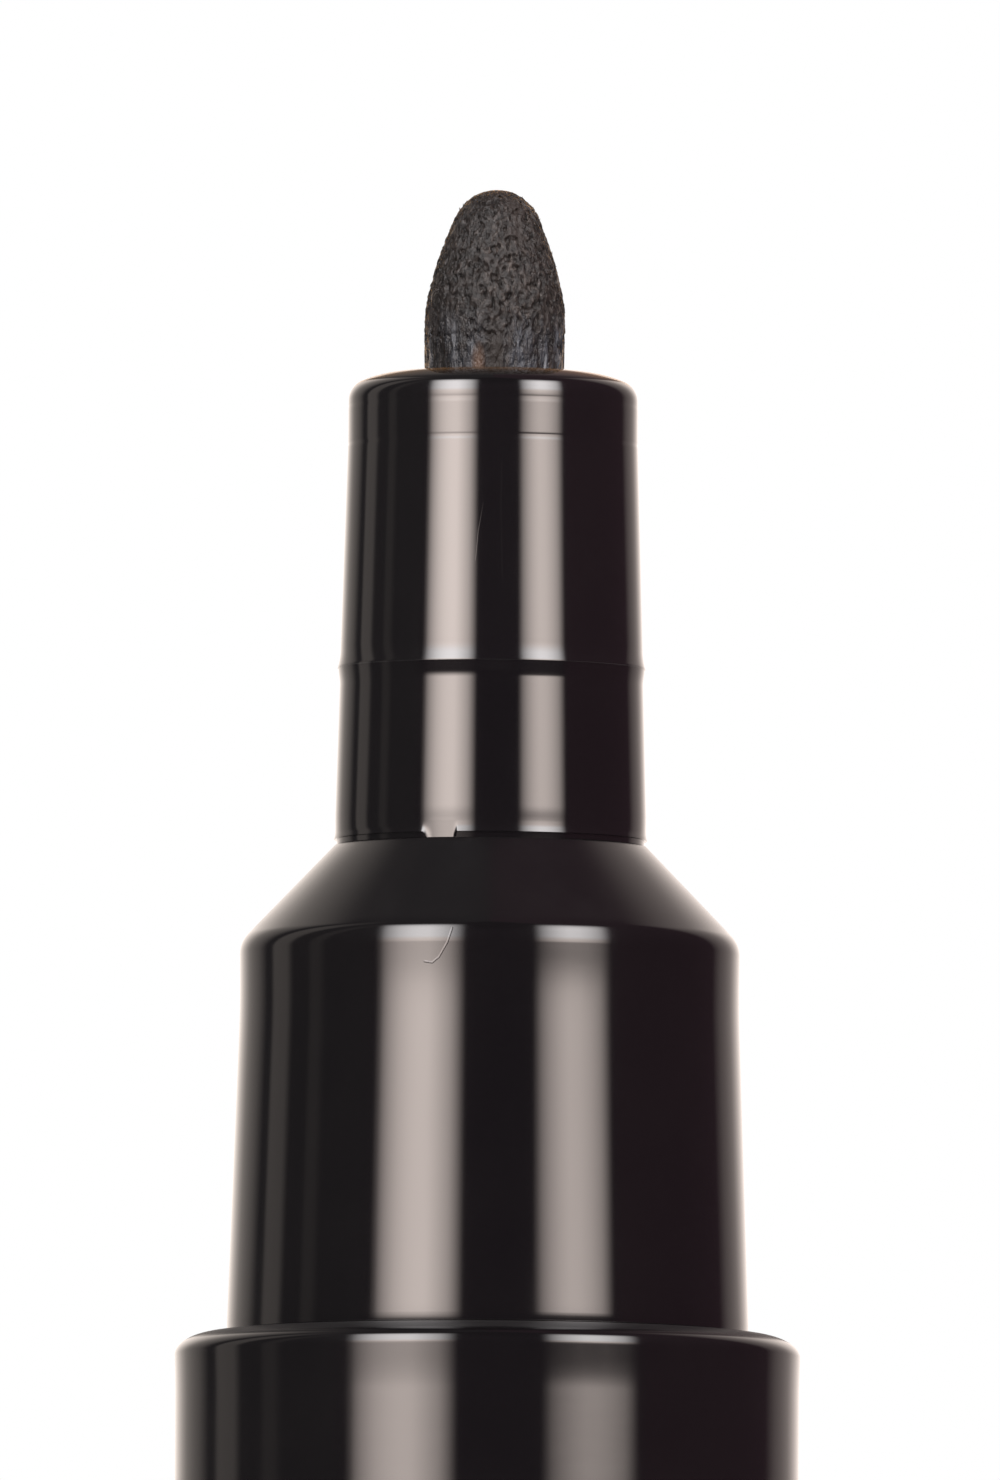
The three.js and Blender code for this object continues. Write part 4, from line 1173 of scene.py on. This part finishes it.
def makeStudio():
    s = sizesOf(studio)
    world = bpy.data.worlds.new("studio")
    bpy.context.scene.world = world
    world.use_nodes = True
    tree = world.node_tree
    tree.nodes.clear()
    direction = addNode(tree, "ShaderNodeTexCoord").outputs["Generated"]

    def faced(vector):
        parts = addNode(tree, "ShaderNodeSeparateXYZ", {"Vector": vector})
        ahead = times(tree, parts.outputs["Y"], -1.0)
        across = maths(tree, "DEGREES", maths(tree, "ARCTAN2", parts.outputs["X"], ahead))
        return across, maths(tree, "DEGREES", maths(tree, "ARCSINE", parts.outputs["Z"]))

    azimuth, height = faced(direction)
    around = maths(tree, "ABSOLUTE", azimuth)
    halfway = vectorMaths(tree, "NORMALIZE", vectorMaths(tree, "ADD", direction, (0.0, -1.0, 0.0)))
    halfTurn, halfTilt = faced(halfway)
    turn = times(tree, halfTurn, 2.0)
    tilt = times(tree, halfTilt, 2.0)

    def profile(value, pairs, low, high, scale):
        ramp = colourRamp(tree, span(tree, value, low, high), stops(pairs, low, high, 1 / scale))
        return times(tree, addNode(tree, "ShaderNodeRGBToBW", {"Color": ramp}).outputs[0], scale)

    left = times(tree, profile(turn, s.leftBox, -60, 0, 8.0), profile(tilt, s.leftHeights, -90, 90, 2))
    right = times(tree, profile(turn, s.rightBox, 0, 60, 8.0), profile(tilt, s.rightHeights, -90, 90, 2))
    back = profile(around, s.backdrop, 90, 180, 2)
    back = times(tree, back, span(tree, height, 75, 40, 0.0, 1.0, True))
    above = maths(tree, "MULTIPLY_ADD", minus(tree, 180.0, around), -1.3, height)
    dark = times(tree, span(tree, above, 2, 8, 0.0, 1.0, True), span(tree, height, 12, 19, 0.0, 0.92, True))
    back = times(tree, back, minus(tree, 1.0, dark))
    strip = 0.0
    for start, end, light in s.strips:
        band = times(tree, span(tree, azimuth, start - 2, start + 2, 0, 1, True),
                     span(tree, azimuth, end + 3, end - 3, 0, light, True))
        strip = plus(tree, band, strip)
    strip = times(tree, strip, span(tree, height, 70, 40, 0.0, 1.0, True))

    sideRight = span(tree, azimuth, 52, 64, 0.0, 1.0, True)
    sideLeft = span(tree, azimuth, -50, -62, 0.0, 1.0, True)
    front = minus(tree, minus(tree, 1.0, sideRight), sideLeft)
    front = times(tree, front, span(tree, height, 35, 75, 1.0, 0.45, True))
    boxes = plus(tree, left, right)
    boxTint = mixColours(tree, span(tree, tilt, 8, 26, 0.0, 1.0, True), s.boxTint, s.upTint)
    lights = (0.0, 0.0, 0.0)
    for value, tint in (
            (boxes, boxTint), (back, s.backTint), (strip, s.backTint), (front, s.frontGlow),
            (sideLeft, s.leftSide), (sideRight, s.rightSide), (span(tree, height, 60, 90), s.top)):
        lights = vectorMaths(tree, "ADD", vectorMaths(tree, "SCALE", tint, Scale=value), lights)
    studioLight = addNode(tree, "ShaderNodeBackground", {"Color": lights, "Strength": 1.0})
    white = addNode(tree, "ShaderNodeBackground", {"Color": (1.0, 1.0, 1.0, 1.0), "Strength": 1.0})
    seen = addNode(tree, "ShaderNodeLightPath").outputs["Is Camera Ray"]
    pick = addNode(tree, "ShaderNodeMixShader", {0: seen})
    tree.links.new(studioLight.outputs[0], pick.inputs[1])
    tree.links.new(white.outputs[0], pick.inputs[2])
    out = addNode(tree, "ShaderNodeOutputWorld")
    tree.links.new(pick.outputs[0], out.inputs["Surface"])


makeStudio()
print("studio lit")


# Camera

view = {"target": (0.214, 0.0, 148.2), "distance": 1000.0, "elevation": -3.7, "frame": 35.69, "roll": 0.345}


def makeCamera():
    v = sizesOf(view)
    camera = bpy.data.cameras.new("camera")
    camera.sensor_fit = "AUTO"      # the sensor's width lies along the frame's long side
    camera.sensor_width = 36
    camera.lens = camera.sensor_width * v.distance / v.frame
    camera.clip_start = 0.01
    camera.clip_end = 100
    piece = bpy.data.objects.new("camera", camera)
    bpy.context.scene.collection.objects.link(piece)
    lift = math.radians(v.elevation)
    target = Vector(v.target) * mm
    place = target + Vector((0, -math.cos(lift), math.sin(lift))) * v.distance * mm
    turn = (target - place).to_track_quat("-Z", "Y").to_matrix().to_4x4()
    piece.matrix_world = Matrix.Translation(place) @ turn @ Matrix.Rotation(math.radians(v.roll), 4, "Z")
    bpy.context.scene.camera = piece


makeCamera()
bpy.context.scene.view_settings.view_transform = "Standard"
